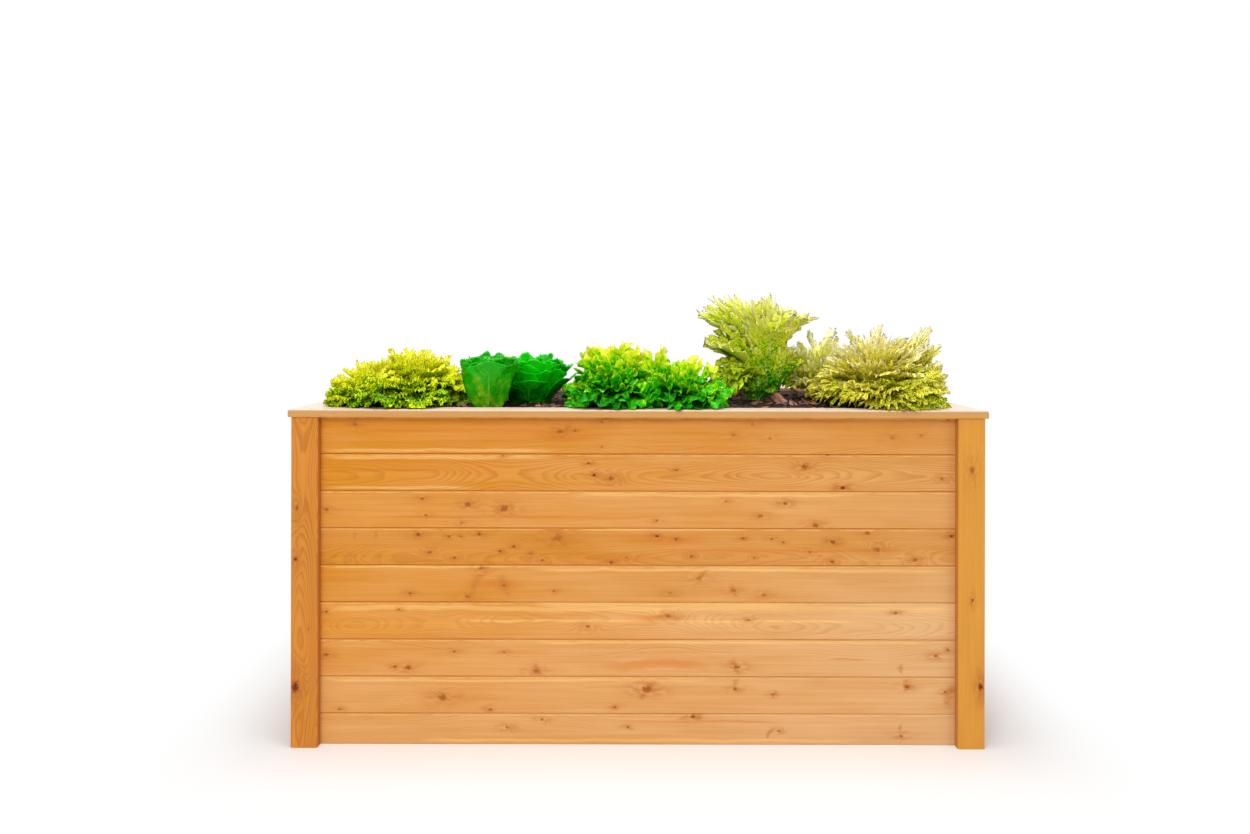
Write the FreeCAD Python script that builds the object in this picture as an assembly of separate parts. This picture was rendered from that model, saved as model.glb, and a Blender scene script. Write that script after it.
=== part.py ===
"""Raised garden bed: grooved corner posts, tongue-and-groove plank walls, a mitred cap and a planted fill.

Millimetres. +Z is up, +X runs along the bed, and the front wall faces -Y.
The origin is on the ground, under the middle of the bed.
"""

import FreeCAD, Part
import math
import os
from collections import namedtuple

from FreeCAD import Vector

# Outside of the frame, measured over the posts
BED_LENGTH = 1800.0
BED_WIDTH = 900.0

# Corner posts, each with a groove in two faces that takes the plank ends
POST_SIDE = 70.0
POST_CHAMFER = 3.0
GROOVE_DEPTH = 15.0
GROOVE_CLEARANCE = 0.5  # on each side of a plank
PLANK_END_GAP = 1.0  # between a plank end and the bottom of its groove

# Wall planks: nine to a wall, the lowest one ripped narrower
PLANK_ROWS = 9
PLANK_THICKNESS = 28.0
PLANK_COVER = 97.0
BOTTOM_PLANK_COVER = 81.0
PLANK_BEVEL = 1.5
TONGUE_THICKNESS = 8.0
TONGUE_HEIGHT = 8.0
TONGUE_CLEARANCE = 0.4

# Mitred cap boards on top of the posts and planks
CAP_WIDTH = 78.0
CAP_THICKNESS = 20.0
CAP_OVERHANG = 6.0
CAP_TOP_ROUND = 5.0
CAP_UNDER_ROUND = 2.5
MITRE_GAP = 0.6

# Upright battens inside the middle of the long walls, tied together across the bed
BATTEN_WIDTH = 70.0
BATTEN_DEPTH = 45.0
TIE_ROD_DIAMETER = 10.0
TIE_ROD_CLEARANCE = 0.5
TIE_ROW = 5  # the rod runs at the seam above this plank
WASHER_DIAMETER = 24.0
WASHER_THICKNESS = 2.5
NUT_ACROSS_FLATS = 17.0
NUT_THICKNESS = 8.0
ROD_END = 2.0  # past the nut
COUNTERBORE_CLEARANCE = 1.5

# Countersunk wood screws
SCREW_SHANK = 5.0
SCREW_HEAD = 10.0
SCREW_HEAD_HEIGHT = 3.0
SCREW_POINT = 6.0
DRIVE_WIDTH = 4.5
DRIVE_DEPTH = 2.0
WALL_SCREW_LENGTH = 45.0
WALL_SCREW_STAGGER = 12.0  # above or below the middle of the plank
CAP_SCREW_LENGTH = 60.0
CAP_POST_SCREW_IN = 45.0  # from the outside of the post, along the board
CAP_POST_SCREW_EDGE = 20.0  # from the outside of the post, across the board
CAP_SCREW_PITCH = 400.0
BATTEN_SCREW_LENGTH = 60.0
BATTEN_SCREW_STAGGER = 18.0

# Lining, mesh and fill
LINER_THICKNESS = 1.5
MESH_THICKNESS = 2.0
MESH_WIRE = 4.0
MESH_GAPS_LONG = 24
MESH_GAPS_WIDE = 12
SOIL_EDGE_DROP = 9.0  # soil, lining and battens at the walls, below the underside of the cap
SOIL_CROWN_DROP = 12.0  # level soil in the middle, below the top of the cap
SOIL_CROWN_MARGIN = 6.0  # between the cap's inner edge and the foot of the crown
SOIL_SHOULDER = 40.0  # width of the slope up to the crown

# Salad plants: a head's reach is its radius, and its height is above the soil
FRILLY_REACH = 146.0
FRILLY_HEIGHT = 164.0
FRILLY_SIDE_REACH = 62.0
FRILLY_SIDE_HEIGHT = 122.0
PALE_ROMAINE_REACH = 92.0
PALE_ROMAINE_HEIGHT = 157.0
DARK_ROMAINE_REACH = 94.0
DARK_ROMAINE_HEIGHT = 148.0
CURLY_REACH = 130.0
CURLY_HEIGHT = 184.0
CURLY_SIDE_REACH = 98.0
CURLY_SIDE_HEIGHT = 148.0
TALL_REACH = 182.0
TALL_HEIGHT = 325.0
TALL_LEAN = -45.0  # along X, at the rim of each cup
YELLOW_REACH = 184.0
YELLOW_HEIGHT = 222.0
YELLOW_SIDE_REACH = 94.0
YELLOW_SIDE_HEIGHT = 205.0
HEAD_GAP = 5.0  # between two heads that stand side by side
PLAN_LENGTH = 1644.0  # the heads reach their full size in a planting area this long
PLAN_WIDTH = 744.0  # and this wide

# How a head is made: nested cups of leaves on a ball of roots
LEAF_THICKNESS = 3.5
ROOT_TOP_RADIUS = 30.0
ROOT_TIP_RADIUS = 18.0
ROOT_DEPTH = 60.0
CUP_FLOOR_STEP = 5.0  # each cup's floor lies in the one outside it
CUP_RADIUS_STEP = 1.5
RING_STEPS = 5  # rings up each side of a cup
POINTS_PER_LEAF = 6

# Places and sizes worked out from the values above
HALF_LENGTH = BED_LENGTH / 2
HALF_WIDTH = BED_WIDTH / 2
WALL_HEIGHT = BOTTOM_PLANK_COVER + (PLANK_ROWS - 1) * PLANK_COVER
BED_HEIGHT = WALL_HEIGHT + CAP_THICKNESS
PLANK_SETBACK = (POST_SIDE - PLANK_THICKNESS) / 2  # from a post's outer face to the plank's
INNER_FACE = PLANK_SETBACK + PLANK_THICKNESS  # from a post's outer face to the wall's inside
CAP_INNER = CAP_WIDTH - CAP_OVERHANG  # from a post's outer face to the cap's inner edge
SOIL_EDGE = WALL_HEIGHT - SOIL_EDGE_DROP
SOIL_CROWN = BED_HEIGHT - SOIL_CROWN_DROP
PLANTING_X = HALF_LENGTH - CAP_INNER - SOIL_CROWN_MARGIN  # half of the planting area's length
PLANTING_Y = HALF_WIDTH - CAP_INNER - SOIL_CROWN_MARGIN
TIE_HEIGHT = BOTTOM_PLANK_COVER + (TIE_ROW - 1) * PLANK_COVER
COUNTERBORE_DEPTH = WASHER_THICKNESS + NUT_THICKNESS + ROD_END + COUNTERBORE_CLEARANCE
COUNTERBORE_RADIUS = WASHER_DIAMETER / 2 + COUNTERBORE_CLEARANCE

OUT = "parts"
X, Y, Z = Vector(1, 0, 0), Vector(0, 1, 0), Vector(0, 0, 1)


def export(name, *solids):
    """Writes one node's STEP file, holding its solids."""
    shape = solids[0] if len(solids) == 1 else Part.makeCompound(list(solids))
    shape.exportStep(os.path.join(OUT, name + ".step"))
    print(f"{name}: {len(shape.Solids)} solid(s), valid {shape.isValid()}, {shape.Volume / 1e6:.3f} litres")


def prism(points, direction):
    """A straight solid from a flat outline, pushed along a vector."""
    wire = Part.makePolygon([*points, points[0]])
    return Part.Face(wire).extrude(direction)


def box(low, high):
    """A block between two corners."""
    size = high - low
    return Part.makeBox(size.x, size.y, size.z, low)


def row_bottom(row):
    """Height of a plank's lower edge. Rows count from 1 at the ground."""
    return 0.0 if row == 1 else BOTTOM_PLANK_COVER + (row - 2) * PLANK_COVER


def row_cover(row):
    return BOTTOM_PLANK_COVER if row == 1 else PLANK_COVER


def row_middle(row):
    return row_bottom(row) + row_cover(row) / 2


# Wood screws --------------------------------------------------------------------------------------


def screw_body(head, direction, length):
    """A countersunk screw's outside: its flat top is centred on head, and its point lies along direction."""
    shank, top = SCREW_SHANK / 2, SCREW_HEAD / 2
    outline = [
        Vector(0, 0, 0),
        Vector(top, 0, 0),
        Vector(shank, 0, SCREW_HEAD_HEIGHT),
        Vector(shank, 0, length - SCREW_POINT),
        Vector(0, 0, length),
    ]
    body = Part.Face(Part.makePolygon([*outline, outline[0]])).revolve(Vector(0, 0, 0), Z, 360)
    body.Placement = FreeCAD.Placement(head, FreeCAD.Rotation(Z, direction))
    return body


def screw(head, direction, length):
    """The screw itself, with a six-sided drive recess in its head."""
    corners = [
        Vector(
            DRIVE_WIDTH / math.sqrt(3) * math.cos(math.radians(60 * i)),
            DRIVE_WIDTH / math.sqrt(3) * math.sin(math.radians(60 * i)),
            0,
        )
        for i in range(6)
    ]
    recess = prism(corners, Vector(0, 0, DRIVE_DEPTH))
    recess.Placement = FreeCAD.Placement(head, FreeCAD.Rotation(Z, direction))
    return screw_body(head, direction, length).cut(recess)


def wall_screws(side_x, side_y, row):
    """The two screws that hold one row's planks in one post: the long wall's, then the end wall's.

    Each is a pair: where its head is, and the direction of its point.
    """
    inset = POST_SIDE - GROOVE_DEPTH / 2
    long_head = Vector(
        side_x * (HALF_LENGTH - inset),
        side_y * (HALF_WIDTH - POST_SIDE),
        row_middle(row) + WALL_SCREW_STAGGER,
    )
    end_head = Vector(
        side_x * (HALF_LENGTH - POST_SIDE),
        side_y * (HALF_WIDTH - inset),
        row_middle(row) - WALL_SCREW_STAGGER,
    )
    return (long_head, Y * side_y), (end_head, X * side_x)


def batten_screw(side_y, row):
    """The screw through a batten into one plank of a long wall."""
    x = BATTEN_SCREW_STAGGER if row % 2 else -BATTEN_SCREW_STAGGER
    return Vector(x, side_y * (HALF_WIDTH - INNER_FACE - BATTEN_DEPTH), row_middle(row)), Y * side_y


def spread(span, pitch):
    """Evenly spaced places along a span, centred on 0 and no further apart than pitch."""
    gaps = max(2, math.ceil(span / pitch))
    return [span * (i / gaps - 0.5) for i in range(1, gaps)]


def cap_screws():
    """The heads of the screws that hold each cap board, by board name."""
    across = PLANK_SETBACK + PLANK_THICKNESS / 2
    corner_x = HALF_LENGTH - CAP_POST_SCREW_IN
    corner_y = HALF_WIDTH - CAP_POST_SCREW_IN
    edge_x = HALF_LENGTH - CAP_POST_SCREW_EDGE
    edge_y = HALF_WIDTH - CAP_POST_SCREW_EDGE
    along_x = spread(BED_LENGTH - 2 * POST_SIDE, CAP_SCREW_PITCH)
    along_y = spread(BED_WIDTH - 2 * POST_SIDE, CAP_SCREW_PITCH)
    heads = {}
    for name, side in (("cap_front", -1), ("cap_back", 1)):
        places = [(s * corner_x, side * edge_y) for s in (-1, 1)]
        places += [(x, side * (HALF_WIDTH - across)) for x in along_x]
        heads[name] = [Vector(x, y, BED_HEIGHT) for x, y in places]
    for name, side in (("cap_left", -1), ("cap_right", 1)):
        places = [(side * edge_x, s * corner_y) for s in (-1, 1)]
        places += [(side * (HALF_LENGTH - across), y) for y in along_y]
        heads[name] = [Vector(x, y, BED_HEIGHT) for x, y in places]
    return heads


# Posts --------------------------------------------------------------------------------------------


def post(side_x, side_y):
    """A corner post with eased edges and two full-height grooves, bored for the screws that enter it."""
    body = Part.makeBox(POST_SIDE, POST_SIDE, WALL_HEIGHT)
    uprights = [e for e in body.Edges if abs(e.tangentAt(e.FirstParameter).z) > 0.5]
    body = body.makeChamfer(POST_CHAMFER, uprights)
    low = PLANK_SETBACK - GROOVE_CLEARANCE
    high = INNER_FACE + GROOVE_CLEARANCE
    floor = POST_SIDE - GROOVE_DEPTH
    body = body.cut(box(Vector(floor, low, 0), Vector(POST_SIDE, high, WALL_HEIGHT)))
    body = body.cut(box(Vector(low, floor, 0), Vector(high, POST_SIDE, WALL_HEIGHT)))
    # modelled with its outer corner at 0, 0, then turned to its own corner of the bed
    turn = {(-1, -1): 0, (1, -1): 90, (1, 1): 180, (-1, 1): 270}[side_x, side_y]
    body.Placement = FreeCAD.Placement(
        Vector(side_x * HALF_LENGTH, side_y * HALF_WIDTH, 0), FreeCAD.Rotation(Z, turn)
    )
    return body


# Walls --------------------------------------------------------------------------------------------


def plank_outline(row):
    """A plank's section as (depth from its outer face, height) pairs.

    The lowest plank's groove is ripped off, and the top one's tongue.
    """
    thick, cover, bevel = PLANK_THICKNESS, row_cover(row), PLANK_BEVEL
    tongue = (thick - TONGUE_THICKNESS) / 2
    groove = tongue - TONGUE_CLEARANCE / 2
    groove_top = TONGUE_HEIGHT + TONGUE_CLEARANCE
    outline = [(0, bevel), (bevel, 0)]
    if row > 1:
        outline += [(groove, 0), (groove, groove_top), (thick - groove, groove_top), (thick - groove, 0)]
    outline += [(thick - bevel, 0), (thick, bevel), (thick, cover - bevel), (thick - bevel, cover)]
    if row < PLANK_ROWS:
        top = cover + TONGUE_HEIGHT
        outline += [(thick - tongue, cover), (thick - tongue, top), (tongue, top), (tongue, cover)]
    outline += [(bevel, cover), (0, cover - bevel)]
    return outline


def plank(wall, row):
    """One plank of a wall, in place, before its screw holes."""
    reach = POST_SIDE - GROOVE_DEPTH + PLANK_END_GAP
    base = row_bottom(row)
    if wall in ("front", "back"):
        side = -1 if wall == "front" else 1
        half = HALF_LENGTH - reach
        face = side * (HALF_WIDTH - PLANK_SETBACK)
        outline = [Vector(-half, face - side * depth, base + up) for depth, up in plank_outline(row)]
        return prism(outline, X * (2 * half))
    side = -1 if wall == "left" else 1
    half = HALF_WIDTH - reach
    face = side * (HALF_LENGTH - PLANK_SETBACK)
    outline = [Vector(face - side * depth, -half, base + up) for depth, up in plank_outline(row)]
    return prism(outline, Y * (2 * half))


# Cap ----------------------------------------------------------------------------------------------


def cap_board(name):
    """A cap board with mitred ends and eased long edges."""
    outer_x, outer_y = HALF_LENGTH + CAP_OVERHANG, HALF_WIDTH + CAP_OVERHANG
    inner_x, inner_y = outer_x - CAP_WIDTH, outer_y - CAP_WIDTH
    slack = MITRE_GAP / 2 * math.sqrt(2)  # half the gap, measured along the board
    side = -1 if name in ("cap_front", "cap_left") else 1
    if name in ("cap_front", "cap_back"):
        points = [(-outer_x + slack, outer_y), (outer_x - slack, outer_y)]
        points += [(inner_x - slack, inner_y), (-inner_x + slack, inner_y)]
        points = [(x, side * y) for x, y in points]
        along = X
    else:
        points = [(outer_x, -outer_y + slack), (outer_x, outer_y - slack)]
        points += [(inner_x, inner_y - slack), (inner_x, -inner_y + slack)]
        points = [(side * x, y) for x, y in points]
        along = Y
    board = prism([Vector(x, y, WALL_HEIGHT) for x, y in points], Z * CAP_THICKNESS)
    long_edges = [e for e in board.Edges if abs(e.tangentAt(e.FirstParameter).dot(along)) > 0.99]
    upper = [e for e in long_edges if e.CenterOfMass.z > BED_HEIGHT - 1]
    board = board.makeFillet(CAP_TOP_ROUND, upper)
    long_edges = [e for e in board.Edges if abs(e.tangentAt(e.FirstParameter).dot(along)) > 0.99]
    lower = [e for e in long_edges if e.CenterOfMass.z < WALL_HEIGHT + 0.1]
    return board.makeFillet(CAP_UNDER_ROUND, lower)


# Tie across the bed -------------------------------------------------------------------------------


def batten(side):
    """An upright batten against the inside of a long wall, bored and counterbored for the tie rod."""
    inner = HALF_WIDTH - INNER_FACE
    ys = sorted((side * inner, side * (inner - BATTEN_DEPTH)))
    body = box(Vector(-BATTEN_WIDTH / 2, ys[0], 0), Vector(BATTEN_WIDTH / 2, ys[1], SOIL_EDGE))
    bore = Part.makeCylinder(
        TIE_ROD_DIAMETER / 2 + TIE_ROD_CLEARANCE,
        BATTEN_DEPTH,
        Vector(0, side * inner, TIE_HEIGHT),
        Y * -side,
    )
    counterbore = Part.makeCylinder(
        COUNTERBORE_RADIUS, COUNTERBORE_DEPTH, Vector(0, side * inner, TIE_HEIGHT), Y * -side
    )
    return body.cut(bore).cut(counterbore)


def tie_rod():
    """The steel rod between the two battens, with eased ends."""
    half = HALF_WIDTH - INNER_FACE - COUNTERBORE_CLEARANCE
    rod = Part.makeCylinder(TIE_ROD_DIAMETER / 2, 2 * half, Vector(0, -half, TIE_HEIGHT), Y)
    ends = [e for e in rod.Edges if e.Curve.TypeId == "Part::GeomCircle"]
    return rod.makeChamfer(TIE_ROD_DIAMETER / 10, ends)


def tie_nuts():
    """A washer and a nut in each batten's counterbore."""
    solids = []
    for side in (-1, 1):
        seat = HALF_WIDTH - INNER_FACE - COUNTERBORE_DEPTH
        washer = Part.makeCylinder(
            WASHER_DIAMETER / 2, WASHER_THICKNESS, Vector(0, side * seat, TIE_HEIGHT), Y * side
        )
        corner = NUT_ACROSS_FLATS / math.sqrt(3)
        nut_base = side * (seat + WASHER_THICKNESS)
        corners = [
            Vector(
                corner * math.cos(math.radians(60 * i)),
                nut_base,
                TIE_HEIGHT + corner * math.sin(math.radians(60 * i)),
            )
            for i in range(6)
        ]
        nut = prism(corners, Y * (side * NUT_THICKNESS))
        bore = Part.makeCylinder(
            TIE_ROD_DIAMETER / 2, COUNTERBORE_DEPTH, Vector(0, side * seat, TIE_HEIGHT), Y * side
        )
        solids += [washer.cut(bore), nut.cut(bore)]
    return solids


# Lining, mesh and soil ----------------------------------------------------------------------------


def inside_outline(inset, battens=True):
    """The plan of the inside of the walls, drawn in by inset, as (x, y) pairs.

    It steps in round each post and, if asked, round the two battens.
    """
    wall_x, wall_y = HALF_LENGTH - INNER_FACE - inset, HALF_WIDTH - INNER_FACE - inset
    post_x, post_y = HALF_LENGTH - POST_SIDE - inset, HALF_WIDTH - POST_SIDE - inset
    quarter = [(wall_x, post_y), (post_x, post_y), (post_x, wall_y)]
    if battens:
        half = BATTEN_WIDTH / 2 + inset
        quarter += [(half, wall_y), (half, wall_y - BATTEN_DEPTH)]
    upper_left = [(-x, y) for x, y in reversed(quarter)]
    lower_left = [(-x, -y) for x, y in quarter]
    lower_right = [(x, -y) for x, y in reversed(quarter)]
    return quarter + upper_left + lower_left + lower_right


def inside_block(inset, low, high, battens=True):
    points = [Vector(x, y, low) for x, y in inside_outline(inset, battens)]
    return prism(points, Z * (high - low))


def tie_passage():
    """The tie rod's way through the lining and the soil."""
    return Part.makeCylinder(
        TIE_ROD_DIAMETER / 2, BED_WIDTH, Vector(0, -HALF_WIDTH, TIE_HEIGHT), Y
    )


def wall_liner():
    """The lining sheet, against the walls, posts and battens, from the mesh up to the level of the soil."""
    outside = inside_block(0, MESH_THICKNESS, SOIL_EDGE)
    inside = inside_block(LINER_THICKNESS, MESH_THICKNESS, SOIL_EDGE)
    return outside.cut(inside).cut(tie_passage())


def vole_mesh():
    """The bottom mesh: one flat face with a grid of square-cornered gaps, pushed up to its thickness."""
    half_x = HALF_LENGTH - POST_SIDE
    half_y = HALF_WIDTH - INNER_FACE - BATTEN_DEPTH
    pitch_x = (2 * half_x - MESH_WIRE) / MESH_GAPS_LONG
    pitch_y = (2 * half_y - MESH_WIRE) / MESH_GAPS_WIDE
    border = [Vector(x, y, 0) for x, y in inside_outline(0)]
    wires = [Part.makePolygon([*border, border[0]])]
    for i in range(MESH_GAPS_LONG):
        for j in range(MESH_GAPS_WIDE):
            left = -half_x + MESH_WIRE + i * pitch_x
            near = -half_y + MESH_WIRE + j * pitch_y
            right = left + pitch_x - MESH_WIRE
            far = near + pitch_y - MESH_WIRE
            corners = [(left, near), (left, far), (right, far), (right, near), (left, near)]
            wires.append(Part.makePolygon([Vector(x, y, 0) for x, y in corners]))
    return Part.Face(wires).extrude(Z * MESH_THICKNESS)


def soil_crown():
    """The raised middle of the soil: a flat top with sloping shoulders, inside the cap."""
    rings = []
    for half_x, half_y, z in (
        (PLANTING_X, PLANTING_Y, SOIL_EDGE),
        (PLANTING_X - SOIL_SHOULDER, PLANTING_Y - SOIL_SHOULDER, SOIL_CROWN),
    ):
        corners = [(-half_x, -half_y), (half_x, -half_y), (half_x, half_y), (-half_x, half_y)]
        corners.append(corners[0])
        rings.append(Part.makePolygon([Vector(x, y, z) for x, y in corners]))
    return Part.makeLoft(rings, True, True)


def soil(heads):
    """The fill: the whole inside of the lining, with the crown on top and a pocket for each root ball."""
    body = inside_block(LINER_THICKNESS, MESH_THICKNESS, SOIL_EDGE)
    body = body.fuse(soil_crown()).removeSplitter()
    body = body.cut(tie_passage())
    return body.cut(Part.makeCompound([root_ball(one) for one in heads]))


# Salad plants -------------------------------------------------------------------------------------

# A cup of leaves: its share of the head's reach and height, its leaves, how deep the notches between them
# are as a share of its own reach, and how it opens (a bowl under 1, a vase over 1). Outermost cup first.
Cup = namedtuple("Cup", "reach height leaves notch opening")

MOUND = [
    Cup(0.97, 0.26, 11, 0.08, 0.5),
    Cup(1.00, 0.52, 10, 0.08, 0.7),
    Cup(0.82, 0.78, 8, 0.09, 0.8),
    Cup(0.56, 0.93, 7, 0.10, 1.0),
    Cup(0.30, 1.00, 5, 0.12, 1.2),
]
TUFT = [
    Cup(1.00, 0.62, 7, 0.10, 1.2),
    Cup(0.78, 0.86, 6, 0.10, 1.3),
    Cup(0.50, 1.00, 5, 0.12, 1.3),
]
UPRIGHT = [
    Cup(1.00, 0.76, 5, 0.20, 1.1),
    Cup(0.80, 0.92, 5, 0.18, 1.3),
    Cup(0.50, 1.00, 4, 0.15, 1.5),
]
VASE = [
    Cup(0.66, 0.34, 5, 0.16, 1.0),
    Cup(1.00, 0.76, 7, 0.14, 1.4),
    Cup(0.80, 0.90, 6, 0.14, 1.7),
    Cup(0.50, 1.00, 5, 0.14, 1.9),
]

Head = namedtuple("Head", "x y reach height lean cups")


def growth():
    """How far the heads grow: in a bed smaller than the planting plan's, they stay smaller in step."""
    return min(2 * PLANTING_X / PLAN_LENGTH, 2 * PLANTING_Y / PLAN_WIDTH)


def head(share_x, share_y, reach, height, cups, lean=0.0):
    """A head that stands at a share of the planting area's half-length and half-width."""
    size = growth()
    return Head(share_x * PLANTING_X, share_y * PLANTING_Y, reach * size, height * size, lean * size, cups)


def beside(other, bearing, reach, height, cups):
    """A head next to another one, in the direction given in degrees from +X."""
    size = growth()
    away = other.reach + HEAD_GAP + reach * size
    angle = math.radians(bearing)
    x = other.x + away * math.cos(angle)
    y = other.y + away * math.sin(angle)
    return Head(x, y, reach * size, height * size, 0.0, cups)


def planting():
    """Every head in the bed, by the node it belongs to."""
    frilly = head(-0.79, -0.43, FRILLY_REACH, FRILLY_HEIGHT, MOUND)
    curly = head(-0.075, -0.50, CURLY_REACH, CURLY_HEIGHT, MOUND)
    yellow = head(0.86, -0.50, YELLOW_REACH, YELLOW_HEIGHT, MOUND)
    return {
        "frilly_lettuce": [frilly, beside(frilly, 235, FRILLY_SIDE_REACH, FRILLY_SIDE_HEIGHT, TUFT)],
        "pale_romaine": [head(-0.485, -0.74, PALE_ROMAINE_REACH, PALE_ROMAINE_HEIGHT, UPRIGHT)],
        "dark_romaine": [head(-0.35, -0.26, DARK_ROMAINE_REACH, DARK_ROMAINE_HEIGHT, UPRIGHT)],
        "curly_lettuce": [curly, beside(curly, -10, CURLY_SIDE_REACH, CURLY_SIDE_HEIGHT, MOUND)],
        "tall_lettuce": [head(0.50, -0.13, TALL_REACH, TALL_HEIGHT, VASE, TALL_LEAN)],
        "yellow_lettuce": [yellow, beside(yellow, 117, YELLOW_SIDE_REACH, YELLOW_SIDE_HEIGHT, TUFT)],
    }


def root_ball(plant_head):
    """The tapered ball of roots under a head, down from the top of the soil."""
    base = Vector(plant_head.x, plant_head.y, SOIL_CROWN - ROOT_DEPTH)
    return Part.makeCone(ROOT_TIP_RADIUS, ROOT_TOP_RADIUS, ROOT_DEPTH, base, Z)


def leaf_ring(x, y, z, radius, cup, share, turn):
    """A closed smooth ring round a cup that swells and rises at each leaf, more so towards the rim."""
    points = []
    count = cup.leaves * POINTS_PER_LEAF
    for i in range(count):
        angle = 2 * math.pi * i / count
        between = (1 - math.cos(cup.leaves * angle + turn)) / 2  # 0 at a leaf's middle, 1 between two
        out = radius * (1 - cup.notch * share * between)
        up = z - cup.notch * (z - SOIL_CROWN) * share**2 * between
        points.append(Vector(x + out * math.cos(angle), y + out * math.sin(angle), up))
    curve = Part.BSplineCurve()
    curve.interpolate(Points=points, PeriodicFlag=True)
    return Part.Wire(curve.toShape())


def leaf_cup(plant_head, level):
    """One cup of leaves: up its outside to the rim and down its inside to its floor, as one closed solid.

    A bowl's height grows as a power of its radius, and a vase's radius as a power of its height.
    """
    cup = plant_head.cups[level]
    base_z = SOIL_CROWN + level * CUP_FLOOR_STEP
    base_r = ROOT_TOP_RADIUS - level * (LEAF_THICKNESS + CUP_RADIUS_STEP)
    rim_r = cup.reach * plant_head.reach
    rim_z = SOIL_CROWN + cup.height * plant_head.height
    turn = level * math.pi / 2
    outside, inside = [], []
    for step in range(RING_STEPS + 1):
        share = step / RING_STEPS
        up = share ** (1 / min(cup.opening, 1))
        radius = base_r + (rim_r - base_r) * share ** max(cup.opening, 1)
        z = base_z + (rim_z - base_z) * up
        x = plant_head.x + plant_head.lean * share**2
        floor = CUP_FLOOR_STEP * (1 - share)
        outside.append(leaf_ring(x, plant_head.y, z, radius, cup, share, turn))
        inside.append(leaf_ring(x, plant_head.y, z + floor, radius - LEAF_THICKNESS, cup, share, turn))
    return Part.makeLoft(outside + inside[::-1], True, True)


def plant(heads):
    """A plant node's solids: for each head its root ball and its cups of leaves."""
    solids = []
    for one in heads:
        solids.append(root_ball(one))
        solids += [leaf_cup(one, level) for level in range(len(one.cups))]
    return solids


# Putting it together ------------------------------------------------------------------------------


def main():
    os.makedirs(OUT, exist_ok=True)
    rows = range(1, PLANK_ROWS + 1)
    corners = {
        "post_front_left": (-1, -1),
        "post_front_right": (1, -1),
        "post_back_left": (-1, 1),
        "post_back_right": (1, 1),
    }
    cap_heads = cap_screws()
    cap_all = [head for heads in cap_heads.values() for head in heads]
    cap_bodies = [screw_body(head, -Z, CAP_SCREW_LENGTH) for head in cap_all]
    long_wall, end_wall = {}, {}
    for side_x in (-1, 1):
        for side_y in (-1, 1):
            for row in rows:
                one, two = wall_screws(side_x, side_y, row)
                long_wall.setdefault((side_y, row), []).append(one)
                end_wall.setdefault((side_x, row), []).append(two)

    for name, (side_x, side_y) in corners.items():
        body = post(side_x, side_y)
        entering = [
            screw_body(head, way, WALL_SCREW_LENGTH)
            for row in rows
            for head, way in wall_screws(side_x, side_y, row)
        ]
        export(name, body.cut(Part.makeCompound(entering + cap_bodies)))

    for wall, side in (("front", -1), ("back", 1), ("left", -1), ("right", 1)):
        for row in rows:
            is_long = wall in ("front", "back")
            screws = (long_wall if is_long else end_wall)[side, row]
            entering = [screw_body(head, way, WALL_SCREW_LENGTH) for head, way in screws]
            if is_long:
                entering.append(screw_body(*batten_screw(side, row), BATTEN_SCREW_LENGTH))
            if row == PLANK_ROWS:
                entering += cap_bodies
            export(f"{wall}_plank_{row}", plank(wall, row).cut(Part.makeCompound(entering)))

    for name, heads in cap_heads.items():
        bodies = [screw_body(head, -Z, CAP_SCREW_LENGTH) for head in heads]
        export(name, cap_board(name).cut(Part.makeCompound(bodies)))
    export("cap_screws", *[screw(head, -Z, CAP_SCREW_LENGTH) for head in cap_all])

    wall_heads = [one for group in (*long_wall.values(), *end_wall.values()) for one in group]
    export("wall_screws", *[screw(head, way, WALL_SCREW_LENGTH) for head, way in wall_heads])

    batten_heads = []
    for name, side in (("front_batten", -1), ("back_batten", 1)):
        heads = [batten_screw(side, row) for row in rows]
        bodies = [screw_body(head, way, BATTEN_SCREW_LENGTH) for head, way in heads]
        export(name, batten(side).cut(Part.makeCompound(bodies)))
        batten_heads += heads
    export("batten_screws", *[screw(head, way, BATTEN_SCREW_LENGTH) for head, way in batten_heads])
    export("tie_rod", tie_rod())
    export("tie_rod_nuts", *tie_nuts())

    export("wall_liner", wall_liner())
    export("vole_mesh", vole_mesh())
    plants = planting()
    export("soil", soil([one for heads in plants.values() for one in heads]))
    for name, heads in plants.items():
        export(name, *plant(heads))


main()
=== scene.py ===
"""A waist-high raised garden bed of larch, filled with soil and planted with salad.

Everything is in metres: +Z is up, the front wall faces -Y, and the ground is at 0.
"""

import math

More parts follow.
